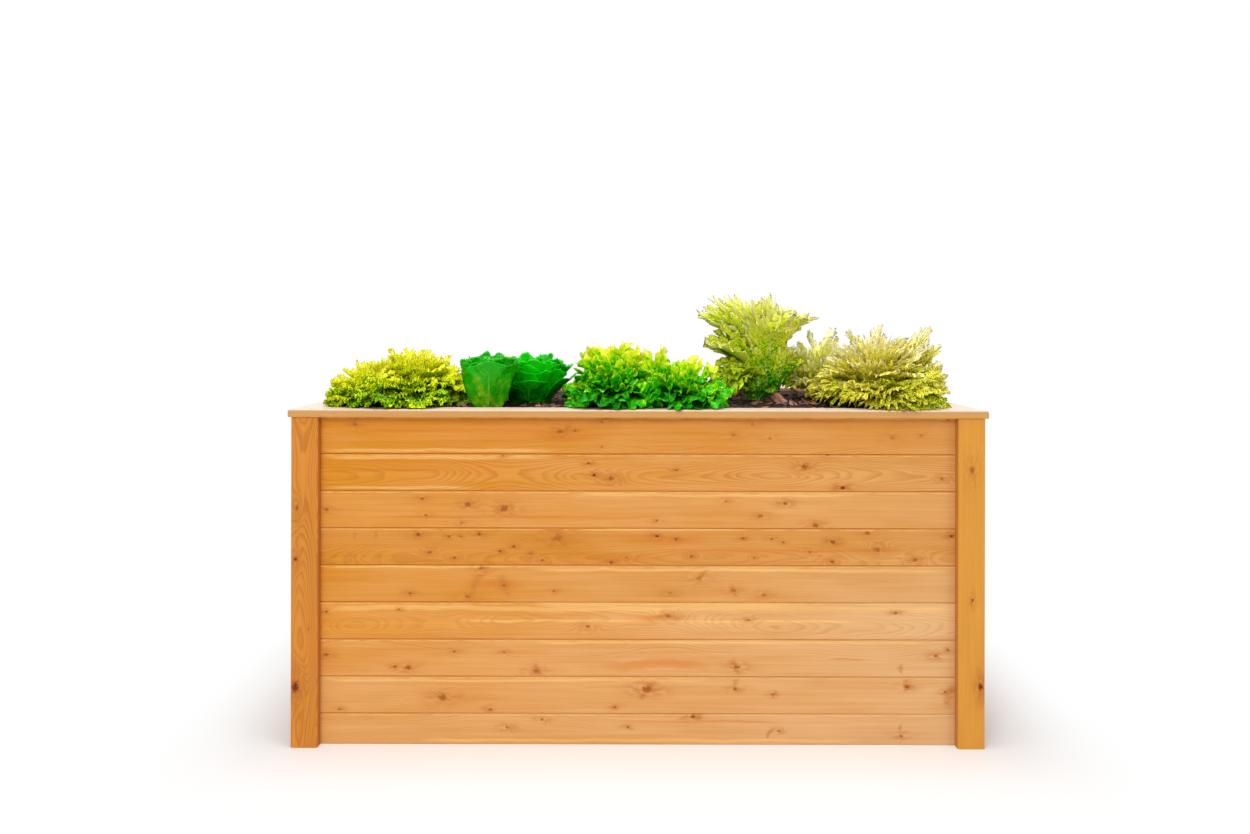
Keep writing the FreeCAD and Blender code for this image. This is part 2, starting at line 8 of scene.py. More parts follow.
import bpy
import numpy as np
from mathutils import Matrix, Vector


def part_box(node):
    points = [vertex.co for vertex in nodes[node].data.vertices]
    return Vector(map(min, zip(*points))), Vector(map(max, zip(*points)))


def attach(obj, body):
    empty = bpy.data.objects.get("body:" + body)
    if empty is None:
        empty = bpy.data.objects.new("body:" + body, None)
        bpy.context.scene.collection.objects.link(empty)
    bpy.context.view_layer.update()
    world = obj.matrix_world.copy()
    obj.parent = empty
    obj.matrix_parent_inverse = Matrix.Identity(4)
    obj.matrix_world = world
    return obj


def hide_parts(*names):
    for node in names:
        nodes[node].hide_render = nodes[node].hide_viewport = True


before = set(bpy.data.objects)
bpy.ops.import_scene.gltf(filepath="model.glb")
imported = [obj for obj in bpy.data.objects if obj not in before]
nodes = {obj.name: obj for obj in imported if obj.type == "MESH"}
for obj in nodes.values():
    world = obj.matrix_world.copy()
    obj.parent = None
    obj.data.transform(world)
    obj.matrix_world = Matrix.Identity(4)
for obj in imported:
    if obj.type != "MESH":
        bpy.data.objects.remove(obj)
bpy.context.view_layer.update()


# Wall planks ----------------------------------------------------------------------------------------
# Nine rows of planed larch board in each wall, 28 mm thick, tongued and grooved, with eased edges.
# Every board comes from its own log, so each has its own pith, growth rings and knots. The wood is
# orange high up on the left and turns paler and pinker towards the ground and the right, from
# bleaching and from painted light that falls from the right.

PLANK_ROWS = 9
HALF_COVER = 0.0485  # half of the height that a full board shows
HALF_RIPPED = 0.0405  # the same for the bottom board, which is ripped narrower
HALF_LONG_WALL = 0.844  # half of the length that a board shows between the posts
HALF_END_WALL = 0.394
FRESH_LARCH = (222, 142, 26)
# the paler wood: bleached, and painted lighter where light falls from the right
BLEACHED_AND_LIT_LARCH = (230, 180, 124)
# the colour of the dark streaks and the late wood, also used for painted shade under the cap
HEARTWOOD_AND_SHADE = (206, 114, 20)
SAPWOOD = (240, 190, 112)
KNOT_HALO = (188, 112, 38)
KNOT_WOOD = (156, 78, 4)
KNOT_HEART = (104, 40, 0)
# dirt in the seams, and painted shade where the boards and the posts meet
SEAM_DIRT_AND_SHADE = (176, 96, 22)


def linear(colour):
    """A colour given as 0 to 255 on screen, as the four linear numbers a shader takes."""
    screen = np.array(colour) / 255
    light = np.where(screen <= 0.04045, screen / 12.92, ((screen + 0.055) / 1.055) ** 2.4)
    return (*light.tolist(), 1.0)


class Graph:
    """A material's node tree. What goes into a node may be a number, a tuple or another node's output."""

    def __init__(self, name, tree=None):
        if tree is None:
            self.material = bpy.data.materials.new(name)
            self.material.use_nodes = True
            tree = self.material.node_tree
            self.shader = tree.nodes["Principled BSDF"]
        self.tree = tree

    def feed(self, socket, value):
        if isinstance(value, bpy.types.NodeSocket):
            self.tree.links.new(value, socket)
        else:
            socket.default_value = value

    def node(self, kind, inputs, output=0, **settings):
        """Adds a node, sets it up, feeds its inputs by their names or places, and returns one output."""
        node = self.tree.nodes.new("ShaderNode" + kind)
        for key, value in settings.items():
            setattr(node, key, value)
        for key, value in inputs.items():
            self.feed(node.inputs[key], value)
        return node.outputs[output]

    def math(self, operation, *values):
        return self.node("Math", dict(enumerate(values)), operation=operation)

    def add(self, first, *others):
        for other in others:
            first = self.math("ADD", first, other)
        return first

    def times(self, first, *others):
        for other in others:
            first = self.math("MULTIPLY", first, other)
        return first

    def point(self):
        """The point that is being shaded, on the object's own axes."""
        return self.node("TexCoord", {}, output=3)

    def place(self):
        """The same point as three numbers: its X, Y and Z."""
        split = self.tree.nodes.new("ShaderNodeSeparateXYZ")
        self.feed(split.inputs[0], self.point())
        return split.outputs

    def number(self, key):
        """The number that the mesh carries at the point under a name."""
        return self.node("Attribute", {}, output=2, attribute_name=key)

    def clouds(self, point, scale, detail=2.0, roughness=0.5):
        """Cloudy noise at a point, about 0.5 on average, with scale cells to a metre."""
        inputs = {"Vector": point, "Scale": scale, "Detail": detail, "Roughness": roughness}
        return self.node("TexNoise", inputs)

    def noise(self, x, y, z, detail=2.0):
        """The same, at a point whose three numbers are given in cells."""
        return self.clouds(self.node("CombineXYZ", {0: x, 1: y, 2: z}), 1.0, detail)

    def swing(self, value, size):
        """Noise about 0, from minus size to size."""
        return self.times(self.math("SUBTRACT", value, 0.5), 2 * size)

    def smooth(self, value, low, high, start=0.0, end=1.0):
        inputs = {0: value, 1: low, 2: high, 3: start, 4: end}
        return self.node("MapRange", inputs, interpolation_type="SMOOTHSTEP")

    def mix(self, share, first, second, blend="MIX"):
        inputs = {0: share, 6: first, 7: second}
        return self.node("Mix", inputs, output=2, data_type="RGBA", blend_type=blend)

    def tinted(self, colour, value):
        """A colour made lighter or darker by a factor."""
        grey = self.node("CombineColor", {0: value, 1: value, 2: value})
        return self.mix(1.0, colour, grey, blend="MULTIPLY")

    def bump(self, height, strength, distance):
        inputs = {"Height": height, "Strength": strength, "Distance": distance}
        self.feed(self.shader.inputs["Normal"], self.node("Bump", inputs))

    def surface(self, **inputs):
        """Feeds the shader's own inputs, with _ for a blank in their names."""
        for key, value in inputs.items():
            self.feed(self.shader.inputs[key.replace("_", " ")], value)
        return self.material


def group(name, inputs, outputs):
    """A new node group with number sockets: its graph, its input values and its output sockets."""
    tree = bpy.data.node_groups.new(name, "ShaderNodeTree")
    for key in inputs:
        tree.interface.new_socket(key, in_out="INPUT", socket_type="NodeSocketFloat")
    for key in outputs:
        tree.interface.new_socket(key, in_out="OUTPUT", socket_type="NodeSocketFloat")
    start = tree.nodes.new("NodeGroupInput").outputs
    end = tree.nodes.new("NodeGroupOutput").inputs
    return Graph(name, tree), [start[key] for key in inputs], [end[key] for key in outputs]


def knot_group():
    """How a knot pulls the rings aside, and how much of a point lies in it.

    The pull is a bell round the knot, longer along the grain. The body is a ragged oval with a soft edge.
    """
    names = ("Along", "Across", "Knot along", "Knot across", "Radius")
    g, (along, across, knot_along, knot_across, radius), (pull, halo, body) = group(
        "knot", names, ("Pull", "Halo", "Body")
    )
    ahead = g.math("SUBTRACT", along, knot_along)
    aside = g.math("SUBTRACT", across, knot_across)
    far = g.math("DIVIDE", ahead, g.times(radius, 5.0))
    side = g.math("DIVIDE", aside, g.times(radius, 2.0))
    bell = g.math("EXPONENT", g.times(g.add(g.times(far, far), g.times(side, side)), -1.0))
    g.feed(pull, g.times(bell, radius, 1.5))
    g.feed(halo, bell)
    ragged = g.swing(g.noise(g.times(along, 170), g.times(across, 170), 0.0), 0.8)
    near = g.math("DIVIDE", ahead, g.times(radius, 1.25))
    edge = g.math("DIVIDE", aside, g.times(radius, 0.85))
    oval = g.math("SQRT", g.add(g.times(near, near), g.times(edge, edge)))
    g.feed(body, g.smooth(g.add(oval, ragged), 1.4, 0.2))
    return g.tree


def streak_group():
    """A soft streak along the grain between two ends, with a wavering line and faded ends."""
    names = ("Along", "Across", "From", "To", "Height", "Half")
    g, (along, across, start, end, height, half), (mask,) = group("streak", names, ("Mask",))
    waver = g.times(g.swing(g.noise(g.times(along, 7), g.times(height, 300), 0.0, detail=3), 1.2), half)
    off = g.math("ABSOLUTE", g.add(across, g.times(height, -1), waver))
    band = g.smooth(g.math("DIVIDE", off, half), 1.0, 0.25)
    fade = g.math("MINIMUM", g.times(g.math("SUBTRACT", end, start), 0.4), 0.10)
    begun = g.smooth(g.math("SUBTRACT", along, start), 0.0, fade)
    done = g.smooth(g.math("SUBTRACT", end, along), 0.0, fade)
    g.feed(mask, g.times(band, begun, done))
    return g.tree


def flare_group():
    """A spike knot sawn lengthwise: a leaning brush mark across the grain, wider at its upper end.

    With up from -1 to 1 over its height, its middle line is a parabola in up and its width grows with up.
    """
    names = ("Along", "Across", "At", "Height", "Half", "Lean")
    g, (along, across, place, height, half, lean), (mask,) = group("flare", names, ("Mask",))
    up = g.math("DIVIDE", g.math("SUBTRACT", across, height), half)
    drift = g.times(half, g.add(g.times(up, lean), g.times(up, up, 0.30)))
    ragged = g.swing(g.noise(g.times(along, 120), g.times(across, 90), height, detail=3), 0.006)
    off = g.add(along, g.times(place, -1), g.times(drift, -1), ragged)
    share = g.math("DIVIDE", off, g.times(half, g.add(0.30, g.times(up, 0.14))))
    bell = g.math("EXPONENT", g.times(share, share, -1.0))
    g.feed(mask, g.times(bell, g.smooth(g.math("ABSOLUTE", up), 1.0, 0.4)))
    return g.tree


KNOT = knot_group()
STREAK = streak_group()
FLARE = flare_group()


def larch(name, axes, middle, colours, bleach_and_light, pith, ring, seed, grain, knots, streaks=(), flares=(),
          edges=None):
    """Planed larch whose growth rings run through the whole board, as a graph and its colour so far.

    axes: the object axes along the grain, across the board and into it, and middle: the board's middle
    on them. A ring's radius is the distance from the pith, a long wavering line at pith = (across, in)
    from the middle, and the rings are ring apart, with dark late wood of strength grain. colours are
    the fresh wood and the paler one, and the share of the second at each end of the board is given
    next: it stands for bleaching and for painted light that falls from one side.
    A knot is (along, across, radius, strength), a streak (from, to, height, half width, pale or not),
    and a flare (along, across, half its height, lean).
    edges are half the height and half the length that show: dirty seams, painted shade at the ends next
    to the posts and a painted highlight along the top edge.
    """
    g = Graph(name)
    place = g.place()
    along, across, inward = (
        g.math("SUBTRACT", place["xyz".index(axis)], centre) for axis, centre in zip(axes, middle)
    )

    def figure(stretch, fine, offset, detail=2.0):
        """Noise whose cells are drawn out along the grain."""
        deep = g.add(g.times(inward, fine), offset)
        return g.noise(g.times(along, stretch), g.times(across, fine), deep, detail)

    sway = g.swing(g.noise(g.times(along, 1.4), seed, 0.0), 0.030)
    rise = g.swing(g.noise(g.times(along, 1.7), seed + 9.1, 0.0, detail=1), 0.045)
    wobble = g.swing(figure(6, 30, seed), 0.0026)
    side = g.add(across, -pith[0], sway)
    deep = g.add(inward, -pith[1], rise, g.times(along, 0.008))
    radius = g.add(g.math("SQRT", g.add(g.times(side, side), g.times(deep, deep))), wobble)

    def placed(tree, *values):
        node = g.tree.nodes.new("ShaderNodeGroup")
        node.node_tree = tree
        for number, value in enumerate((along, across, *values)):
            g.feed(node.inputs[number], value)
        return node.outputs

    halo = body = pale = dark = spike = 0.0
    for knot_along, knot_across, knot_radius, strength in knots:
        knot = placed(KNOT, knot_along, knot_across, knot_radius)
        radius = g.add(radius, knot["Pull"])
        halo = g.math("MAXIMUM", halo, g.times(knot["Halo"], strength))
        body = g.math("MAXIMUM", body, g.times(knot["Body"], strength))
    for *where, is_pale in streaks:
        mask = placed(STREAK, *where)["Mask"]
        if is_pale:
            pale = g.math("MAXIMUM", pale, mask)
        else:
            dark = g.math("MAXIMUM", dark, mask)
    for flare in flares:
        spike = g.math("MAXIMUM", spike, placed(FLARE, *flare)["Mask"])

    count = g.math("DIVIDE", radius, ring)
    count = g.add(count, g.swing(g.noise(g.times(count, 0.21), seed, 4.0), 1.6))
    share = g.math("FRACT", count)
    late = g.times(g.smooth(share, 0.35, 0.88), g.smooth(share, 1.0, 0.92))
    year = g.node("TexWhiteNoise", {"W": g.add(g.math("FLOOR", count), seed)}, noise_dimensions="1D")
    late = g.times(late, g.add(0.55, g.times(year, 0.45)), grain)
    fibre = figure(14, 900, 0.0, 3)
    streaky = figure(3.2, 120, seed, 4)
    cloud = figure(3.4, 16, seed + 3, 4)
    smudge = g.smooth(g.noise(g.times(along, 40), g.times(across, 110), seed, detail=3), 0.30, 0.62)

    half_height, half_length = edges or (None, 1.0)
    # Paler towards one end: bleaching, and painted light that falls from that side
    growth = (bleach_and_light[1] - bleach_and_light[0]) / (2 * half_length)
    fade = g.add(g.times(along, growth), (bleach_and_light[0] + bleach_and_light[1]) / 2)
    fade = g.add(fade, g.swing(cloud, 0.30), g.swing(streaky, 0.14))
    fade = g.math("MINIMUM", g.math("MAXIMUM", fade, 0.0), 1.0)
    wood = g.mix(fade, linear(colours[0]), linear(colours[1]))
    wood = g.mix(g.times(pale, 0.60), wood, linear(SAPWOOD))
    wood = g.mix(g.times(dark, 0.45), wood, linear(HEARTWOOD_AND_SHADE))
    shade = g.add(1.04, g.times(late, -0.26), g.swing(streaky, 0.12))
    shade = g.add(shade, g.swing(cloud, 0.07), g.swing(fibre, 0.06))
    wood = g.tinted(wood, shade)
    wood = g.mix(g.times(late, 0.30), wood, linear(HEARTWOOD_AND_SHADE))
    wood = g.mix(g.math("MINIMUM", g.times(halo, smudge, 1.3), 0.8), wood, linear(KNOT_HALO))
    wood = g.mix(g.times(spike, g.add(0.25, g.times(smudge, 0.45))), wood, linear(KNOT_HALO))
    wood = g.mix(g.times(g.smooth(body, 0.10, 0.55), 0.85), wood, linear(KNOT_WOOD))
    wood = g.mix(g.smooth(body, 0.60, 0.95), wood, linear(KNOT_HEART))

    if edges:
        patchy = g.noise(g.times(along, 22), seed, 0.0, detail=3)
        # Painted highlight: a pale, patchy line along the board's eased top edge, just under the seam.
        top_edge_highlight = g.smooth(g.math("ABSOLUTE", g.add(across, 0.0045 - half_height)), 0.0028, 0.0006)
        wood = g.mix(g.times(top_edge_highlight, g.smooth(patchy, 0.35, 0.60), 0.50), wood, linear(SAPWOOD))
        seam = g.smooth(g.math("ABSOLUTE", across), half_height - 0.0024, half_height - 0.0010)
        # The seams' dirt grows fainter at the paler end, with the painted light
        seam = g.times(seam, g.add(0.70, g.times(fade, -0.35)))
        # Painted shade at the board's ends, in the corner where they run into the posts; the seams
        # themselves are dirt.
        ragged = g.swing(g.noise(g.times(across, 90), seed, 0.0, detail=3), 0.010)
        reach = g.add(g.math("ABSOLUTE", along), ragged)
        end_shade = g.times(g.smooth(reach, half_length - 0.009, half_length - 0.001), 0.7)
        dirt_and_shade = g.math("MAXIMUM", g.times(seam, g.smooth(patchy, 0.25, 0.55, 0.55, 0.95)), end_shade)
        wood = g.mix(dirt_and_shade, wood, linear(SEAM_DIRT_AND_SHADE))

    near_knot = g.smooth(body, 0.0, 0.5)
    rough = g.add(0.52, g.swing(streaky, 0.10), g.times(late, -0.06), g.times(near_knot, -0.08))
    g.bump(g.add(g.times(late, 0.5), g.times(fibre, 0.35), g.times(near_knot, 0.4)), 0.35, 0.0006)
    g.surface(Base_Color=wood, Roughness=rough, Specular_IOR_Level=0.25)
    return g, wood


# The knots that show in the front wall, by row from the ground: metres along from the middle of the
# board, up from its middle, the radius, and how dark the knot is.
FRONT_KNOTS = {
    9: [(-0.740, 0.027, 0.006, 0.5), (-0.205, 0.010, 0.009, 0.45), (-0.165, 0.012, 0.004, 0.6),
        (-0.095, 0.035, 0.006, 0.4), (0.250, 0.002, 0.008, 0.35), (0.345, -0.006, 0.006, 0.35),
        (0.300, 0.030, 0.006, 0.35), (0.665, -0.004, 0.007, 0.35), (0.740, 0.002, 0.004, 0.4),
        (0.810, 0.043, 0.004, 0.6), (-0.095, -0.030, 0.003, 0.5)],
    8: [(-0.130, 0.024, 0.004, 0.8), (-0.115, -0.007, 0.005, 1.0), (-0.070, -0.015, 0.007, 0.7),
        (0.100, 0.007, 0.004, 0.75), (0.435, 0.016, 0.008, 0.7), (0.535, -0.039, 0.006, 1.0),
        (0.795, -0.015, 0.004, 0.7), (-0.355, 0.044, 0.004, 0.7), (0.495, 0.047, 0.005, 0.7)],
    7: [(-0.815, -0.001, 0.006, 0.5), (-0.565, 0.028, 0.005, 0.6), (-0.445, 0.013, 0.008, 0.65),
        (-0.350, 0.003, 0.011, 0.60), (-0.555, -0.016, 0.004, 0.6), (0.385, 0.018, 0.006, 0.7),
        (0.320, -0.016, 0.007, 0.45), (0.465, -0.040, 0.008, 0.6), (0.230, 0.022, 0.004, 0.45),
        (0.050, -0.028, 0.004, 0.5), (-0.460, -0.035, 0.009, 0.3)],
    6: [(-0.575, 0.031, 0.006, 0.75), (-0.545, -0.016, 0.005, 0.6), (-0.495, 0.026, 0.004, 0.7),
        (-0.465, 0.026, 0.003, 0.7), (-0.415, 0.032, 0.005, 0.75), (-0.360, -0.013, 0.004, 0.8),
        (-0.325, 0.000, 0.004, 0.8), (-0.280, -0.018, 0.003, 0.7), (-0.250, -0.036, 0.004, 0.7),
        (-0.210, 0.022, 0.014, 0.42), (-0.070, -0.041, 0.005, 0.8), (-0.480, -0.030, 0.004, 0.7),
        (0.050, 0.028, 0.005, 0.9), (0.100, 0.020, 0.004, 0.75), (0.140, -0.025, 0.004, 0.7),
        (0.275, 0.023, 0.004, 0.75), (0.350, 0.021, 0.004, 0.7), (0.380, 0.012, 0.003, 0.8),
        (0.450, -0.013, 0.004, 0.55), (0.510, 0.014, 0.006, 0.85), (0.508, -0.038, 0.005, 0.75),
        (0.625, -0.007, 0.010, 0.45), (0.725, -0.033, 0.006, 0.65), (0.820, 0.030, 0.005, 0.85),
        (0.600, 0.037, 0.006, 0.6), (0.305, -0.028, 0.003, 0.6), (-0.030, -0.028, 0.003, 0.6)],
    5: [(-0.410, 0.042, 0.007, 0.65), (-0.595, -0.026, 0.005, 0.55), (-0.445, -0.034, 0.008, 0.4),
        (-0.350, -0.006, 0.005, 0.45), (-0.220, -0.020, 0.004, 0.55), (0.085, -0.024, 0.006, 0.4),
        (0.160, 0.015, 0.010, 0.35), (0.250, -0.016, 0.007, 0.4), (0.330, -0.029, 0.006, 0.5)],
    4: [(-0.815, 0.023, 0.004, 0.6), (-0.625, 0.029, 0.003, 0.7), (-0.130, -0.014, 0.006, 0.5),
        (0.080, 0.013, 0.007, 0.55), (0.290, 0.003, 0.004, 0.6), (0.675, 0.022, 0.005, 0.55)],
    3: [(-0.815, 0.007, 0.007, 0.5), (-0.635, -0.024, 0.004, 0.7), (-0.600, -0.026, 0.007, 0.7),
        (-0.480, 0.016, 0.004, 0.6), (-0.350, 0.014, 0.004, 0.6), (-0.265, -0.035, 0.009, 0.45),
        (0.260, -0.023, 0.008, 0.5), (0.780, 0.007, 0.006, 0.6), (0.810, 0.023, 0.004, 0.7)],
    2: [(-0.510, -0.007, 0.011, 0.50), (-0.780, -0.039, 0.004, 0.6), (-0.385, -0.038, 0.005, 0.6),
        (-0.060, -0.032, 0.004, 0.6), (0.025, 0.015, 0.012, 0.6), (0.255, 0.016, 0.006, 0.5),
        (0.355, 0.003, 0.004, 0.6), (0.705, 0.023, 0.006, 0.65), (0.805, 0.010, 0.004, 0.7)],
    1: [(-0.340, 0.004, 0.006, 0.45), (-0.250, 0.025, 0.005, 0.55), (-0.025, 0.005, 0.004, 0.6),
        (0.145, 0.034, 0.006, 0.95), (0.370, -0.004, 0.004, 0.6), (0.690, -0.016, 0.006, 0.5)],
}
# Streaks in the front wall: from and to along the board, up from its middle, half their width, and
# whether they are pale sapwood or dark. The dark ones are resinous heartwood, except the long one
# along the top of row 9, which is painted shade under the cap.
FRONT_STREAKS = {
    # The long dark streak at 0.042 in row 9 is painted shade under the cap's overhang.
    9: [(-0.85, -0.20, -0.040, 0.006, True), (-0.75, -0.10, 0.012, 0.007, False),
        (-0.85, 0.60, 0.042, 0.008, False), (-0.30, -0.05, -0.006, 0.012, False)],
    8: [(-0.85, -0.20, 0.039, 0.007, True), (-0.85, -0.40, -0.040, 0.005, True),
        (-0.84, -0.50, 0.006, 0.006, False)],
    7: [(-0.20, 0.60, 0.038, 0.006, True), (-0.70, 0.10, -0.020, 0.004, False)],
    6: [(-0.18, 0.30, 0.045, 0.004, True), (-0.10, 0.22, 0.020, 0.016, False),
        (0.05, 0.75, -0.010, 0.005, False), (-0.20, 0.10, -0.030, 0.008, False),
        (-0.84, -0.62, 0.004, 0.0016, False)],
    5: [(-0.85, -0.30, 0.043, 0.004, True), (-0.30, 0.85, 0.036, 0.006, True),
        (-0.46, -0.28, -0.002, 0.016, False)],
    4: [(-0.85, 0.85, 0.032, 0.009, True), (-0.30, 0.45, 0.042, 0.024, True),
        (-0.50, 0.60, 0.000, 0.005, True), (-0.06, 0.18, 0.006, 0.012, False)],
    3: [(-0.12, 0.22, -0.018, 0.018, False), (0.48, 0.62, -0.002, 0.004, False),
        (-0.30, 0.80, 0.040, 0.005, True)],
    2: [(-0.60, -0.42, -0.006, 0.004, False), (-0.85, 0.20, 0.038, 0.005, True)],
    1: [(-0.60, 0.60, -0.030, 0.006, True), (-0.10, 0.40, 0.020, 0.004, False)],
}
# Spike knots that the saw has cut lengthwise: along, up from the middle, half the height, lean
FRONT_FLARES = {
    9: [(-0.190, 0.014, 0.026, 0.5), (-0.745, 0.030, 0.014, 0.6)],
    6: [(-0.200, 0.020, 0.028, -0.4), (-0.222, 0.016, 0.024, 0.5), (-0.686, 0.030, 0.013, 0.0),
        (-0.742, 0.027, 0.012, 0.1), (-0.752, -0.030, 0.016, 0.1), (-0.676, -0.032, 0.014, 0.0)],
    5: [(0.166, 0.020, 0.022, 0.6), (-0.425, 0.004, 0.042, 0.5), (-0.350, -0.006, 0.036, -0.3),
        (0.250, -0.020, 0.020, -0.5)],
    3: [(0.253, -0.022, 0.026, -0.3), (0.687, -0.028, 0.016, 0.0), (-0.262, -0.030, 0.018, -0.6)],
    2: [(0.256, 0.028, 0.020, 0.1), (0.357, 0.002, 0.014, 0.5), (0.700, 0.026, 0.022, 0.0),
        (0.815, 0.000, 0.040, 0.4), (0.020, 0.012, 0.030, 0.6)],
    1: [(0.344, -0.010, 0.018, 0.6), (0.687, 0.006, 0.012, 0.3)],
}
# For each front board: where its pith lies behind it, how much paler it is at its left and right end
# (bleaching, and painted light from the right), its tone next to its neighbours, and how strong its
# rings are
FRONT_BOARDS = {
    9: ((-0.070, 0.075), (0.00, 0.38), 0.955, 0.45), 8: ((-0.010, 0.060), (0.03, 0.50), 0.955, 0.75),
    7: ((0.085, 0.070), (0.18, 0.56), 0.96, 0.45), 6: ((-0.030, 0.070), (0.14, 0.36), 0.935, 0.60),
    5: ((0.095, 0.080), (0.10, 0.70), 0.95, 0.40), 4: ((-0.006, 0.070), (0.06, 1.02), 0.965, 0.42),
    3: ((0.080, 0.085), (0.24, 0.94), 0.96, 0.45), 2: ((-0.085, 0.075), (0.40, 0.82), 0.96, 0.40),
    1: ((0.070, 0.080), (0.44, 1.00), 0.96, 0.40),
}

draw = np.random.default_rng(11)


def dress(node, material):
    """Puts a material on a piece of the frame."""
    piece = nodes[node]
    piece.data.materials.clear()
    piece.data.materials.append(material)


def toned(colour, tone):
    return tuple(np.clip(np.array(colour) * tone, 0, 255))


for wall in ("front", "back", "left", "right"):
    for row in range(1, PLANK_ROWS + 1):
        node = f"{wall}_plank_{row}"
        low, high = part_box(node)
        if wall in ("front", "back"):
            axes, face, half = "xzy", low.y if wall == "front" else high.y, HALF_LONG_WALL
        else:
            axes, face, half = "yzx", low.x if wall == "left" else high.x, HALF_END_WALL
        cover = HALF_COVER if row > 1 else HALF_RIPPED
        middle = (0.0, low.z + cover, face)
        seed = float(draw.uniform(0, 80))
        ring = float(draw.uniform(0.0020, 0.0028))
        pith, bleach_and_light, tone, grain = FRONT_BOARDS[row]
        knots, streaks, flares = FRONT_KNOTS[row], FRONT_STREAKS[row], FRONT_FLARES.get(row, ())
        if wall != "front":
            pith = (float(draw.uniform(-0.09, 0.09)), float(draw.uniform(0.06, 0.09)))
            count = int(7 * half + 3)
            knots = draw.uniform((-half, -0.04, 0.003, 0.4), (half, 0.04, 0.008, 0.9), (count, 4)).tolist()
            heights = draw.uniform(-0.04, 0.04, 2)
            streaks = [(-half, half, float(heights[0]), 0.007, True)]
            streaks.append((-half, 0, float(heights[1]), 0.006, False))
            flares = draw.uniform((-half, -0.02, 0.015, -0.5), (half, 0.02, 0.030, 0.5), (2, 4)).tolist()
        if wall in ("back", "right"):
            pith = (pith[0], -pith[1])
        pair = toned(FRESH_LARCH, tone), toned(BLEACHED_AND_LIT_LARCH, tone)
        edges = (cover, half)
        figures = knots, streaks, flares, edges
        board, _ = larch(node, axes, middle, pair, bleach_and_light, pith, ring, seed, grain, *figures)
        dress(node, board.material)


# Corner posts ---------------------------------------------------------------------------------------
# Four 70 mm square posts of the same larch, planed, with eased corners and a groove in two faces.
# The front left one is sawn near the heart, the front right one is straight in the grain and more golden.

POST_LARCH = {
    "front_left": ((202, 129, 44), (-0.012, 0.050), 1.3),
    "front_right": ((210, 146, 54), (-0.140, 0.050), 0.6),
    "back_left": ((214, 136, 46), (0.120, -0.060), 0.8),
    "back_right": ((218, 144, 50), (0.020, -0.070), 0.9),
}
POST_SHADE = (150, 92, 58)  # painted shade on the inner side faces
POST_RING = 0.0027  # the width of a year's growth
POST_SIDE = (0.0335, 0.0349)  # from the post's middle: where its eased edge turns into its side
POST_BACK = (0.0685, 0.0699)  # from its outer face: where the edge turns into its inner face
POST_SEAM = (0.0145, 0.0205)  # where the painted shade next to the wall boards begins and is full
POST_KNOTS = {
    "front_left": [(-0.270, -0.022, 0.013, 1.0), (0.195, -0.019, 0.007, 0.6), (0.060, -0.022, 0.006, 0.9),
                   (-0.120, 0.012, 0.003, 0.5)],
    "front_right": [(0.295, 0.000, 0.009, 0.5), (-0.042, 0.002, 0.004, 0.9), (-0.266, 0.024, 0.009, 1.0)],
    "back_left": [(0.10, 0.010, 0.006, 0.8), (-0.25, -0.015, 0.005, 0.8)],
    "back_right": [(0.22, -0.012, 0.005, 0.8), (-0.05, 0.016, 0.006, 0.8)],
}
for corner, (colour, pith, grain) in POST_LARCH.items():
    node = "post_" + corner
    low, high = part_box(node)
    face = low.y if "front" in corner else high.y
    middle = ((low.z + high.z) / 2, (low.x + high.x) / 2, face)
    seed = float(draw.uniform(0, 80))
    pair = colour, toned(colour, 1.08)
    knots = POST_KNOTS[corner]
    post, wood = larch(node, "zxy", middle, pair, (0.3, 0.3), pith, POST_RING, seed, grain, knots)
    place = post.place()
    to_right = 1 if "left" in corner else -1
    to_back = 1 if "front" in corner else -1
    across = post.times(post.add(place[0], -(low.x + high.x) / 2), to_right)
    deep = post.times(post.add(place[1], -face), to_back)
    end_side = post.smooth(across, *POST_SIDE)
    long_side = post.smooth(deep, *POST_BACK)
    # Painted shade: the inner side faces are darker, and darker still in the corners where the wall boards
    # meet the post.
    wood = post.mix(post.times(post.math("MAXIMUM", end_side, long_side), 0.40), wood, linear(POST_SHADE))
    corner_shade = post.times(end_side, post.smooth(deep, *POST_SEAM))
    other_corner_shade = post.times(long_side, post.smooth(across, -POST_SEAM[1], -POST_SEAM[0]))
    wood = post.mix(post.times(post.math("MAXIMUM", corner_shade, other_corner_shade), 0.8), wood, linear(SEAM_DIRT_AND_SHADE))
    dress(node, post.surface(Base_Color=wood))


# Cap ------------------------------------------------------------------------------------------------
# Four flat 20 mm boards, mitred at the corners and screwed down on the posts and the top planks.
# They stand a few millimetres proud outside. Their tops are paler: bleached by rain and sun, and painted
# lighter where light falls from above.

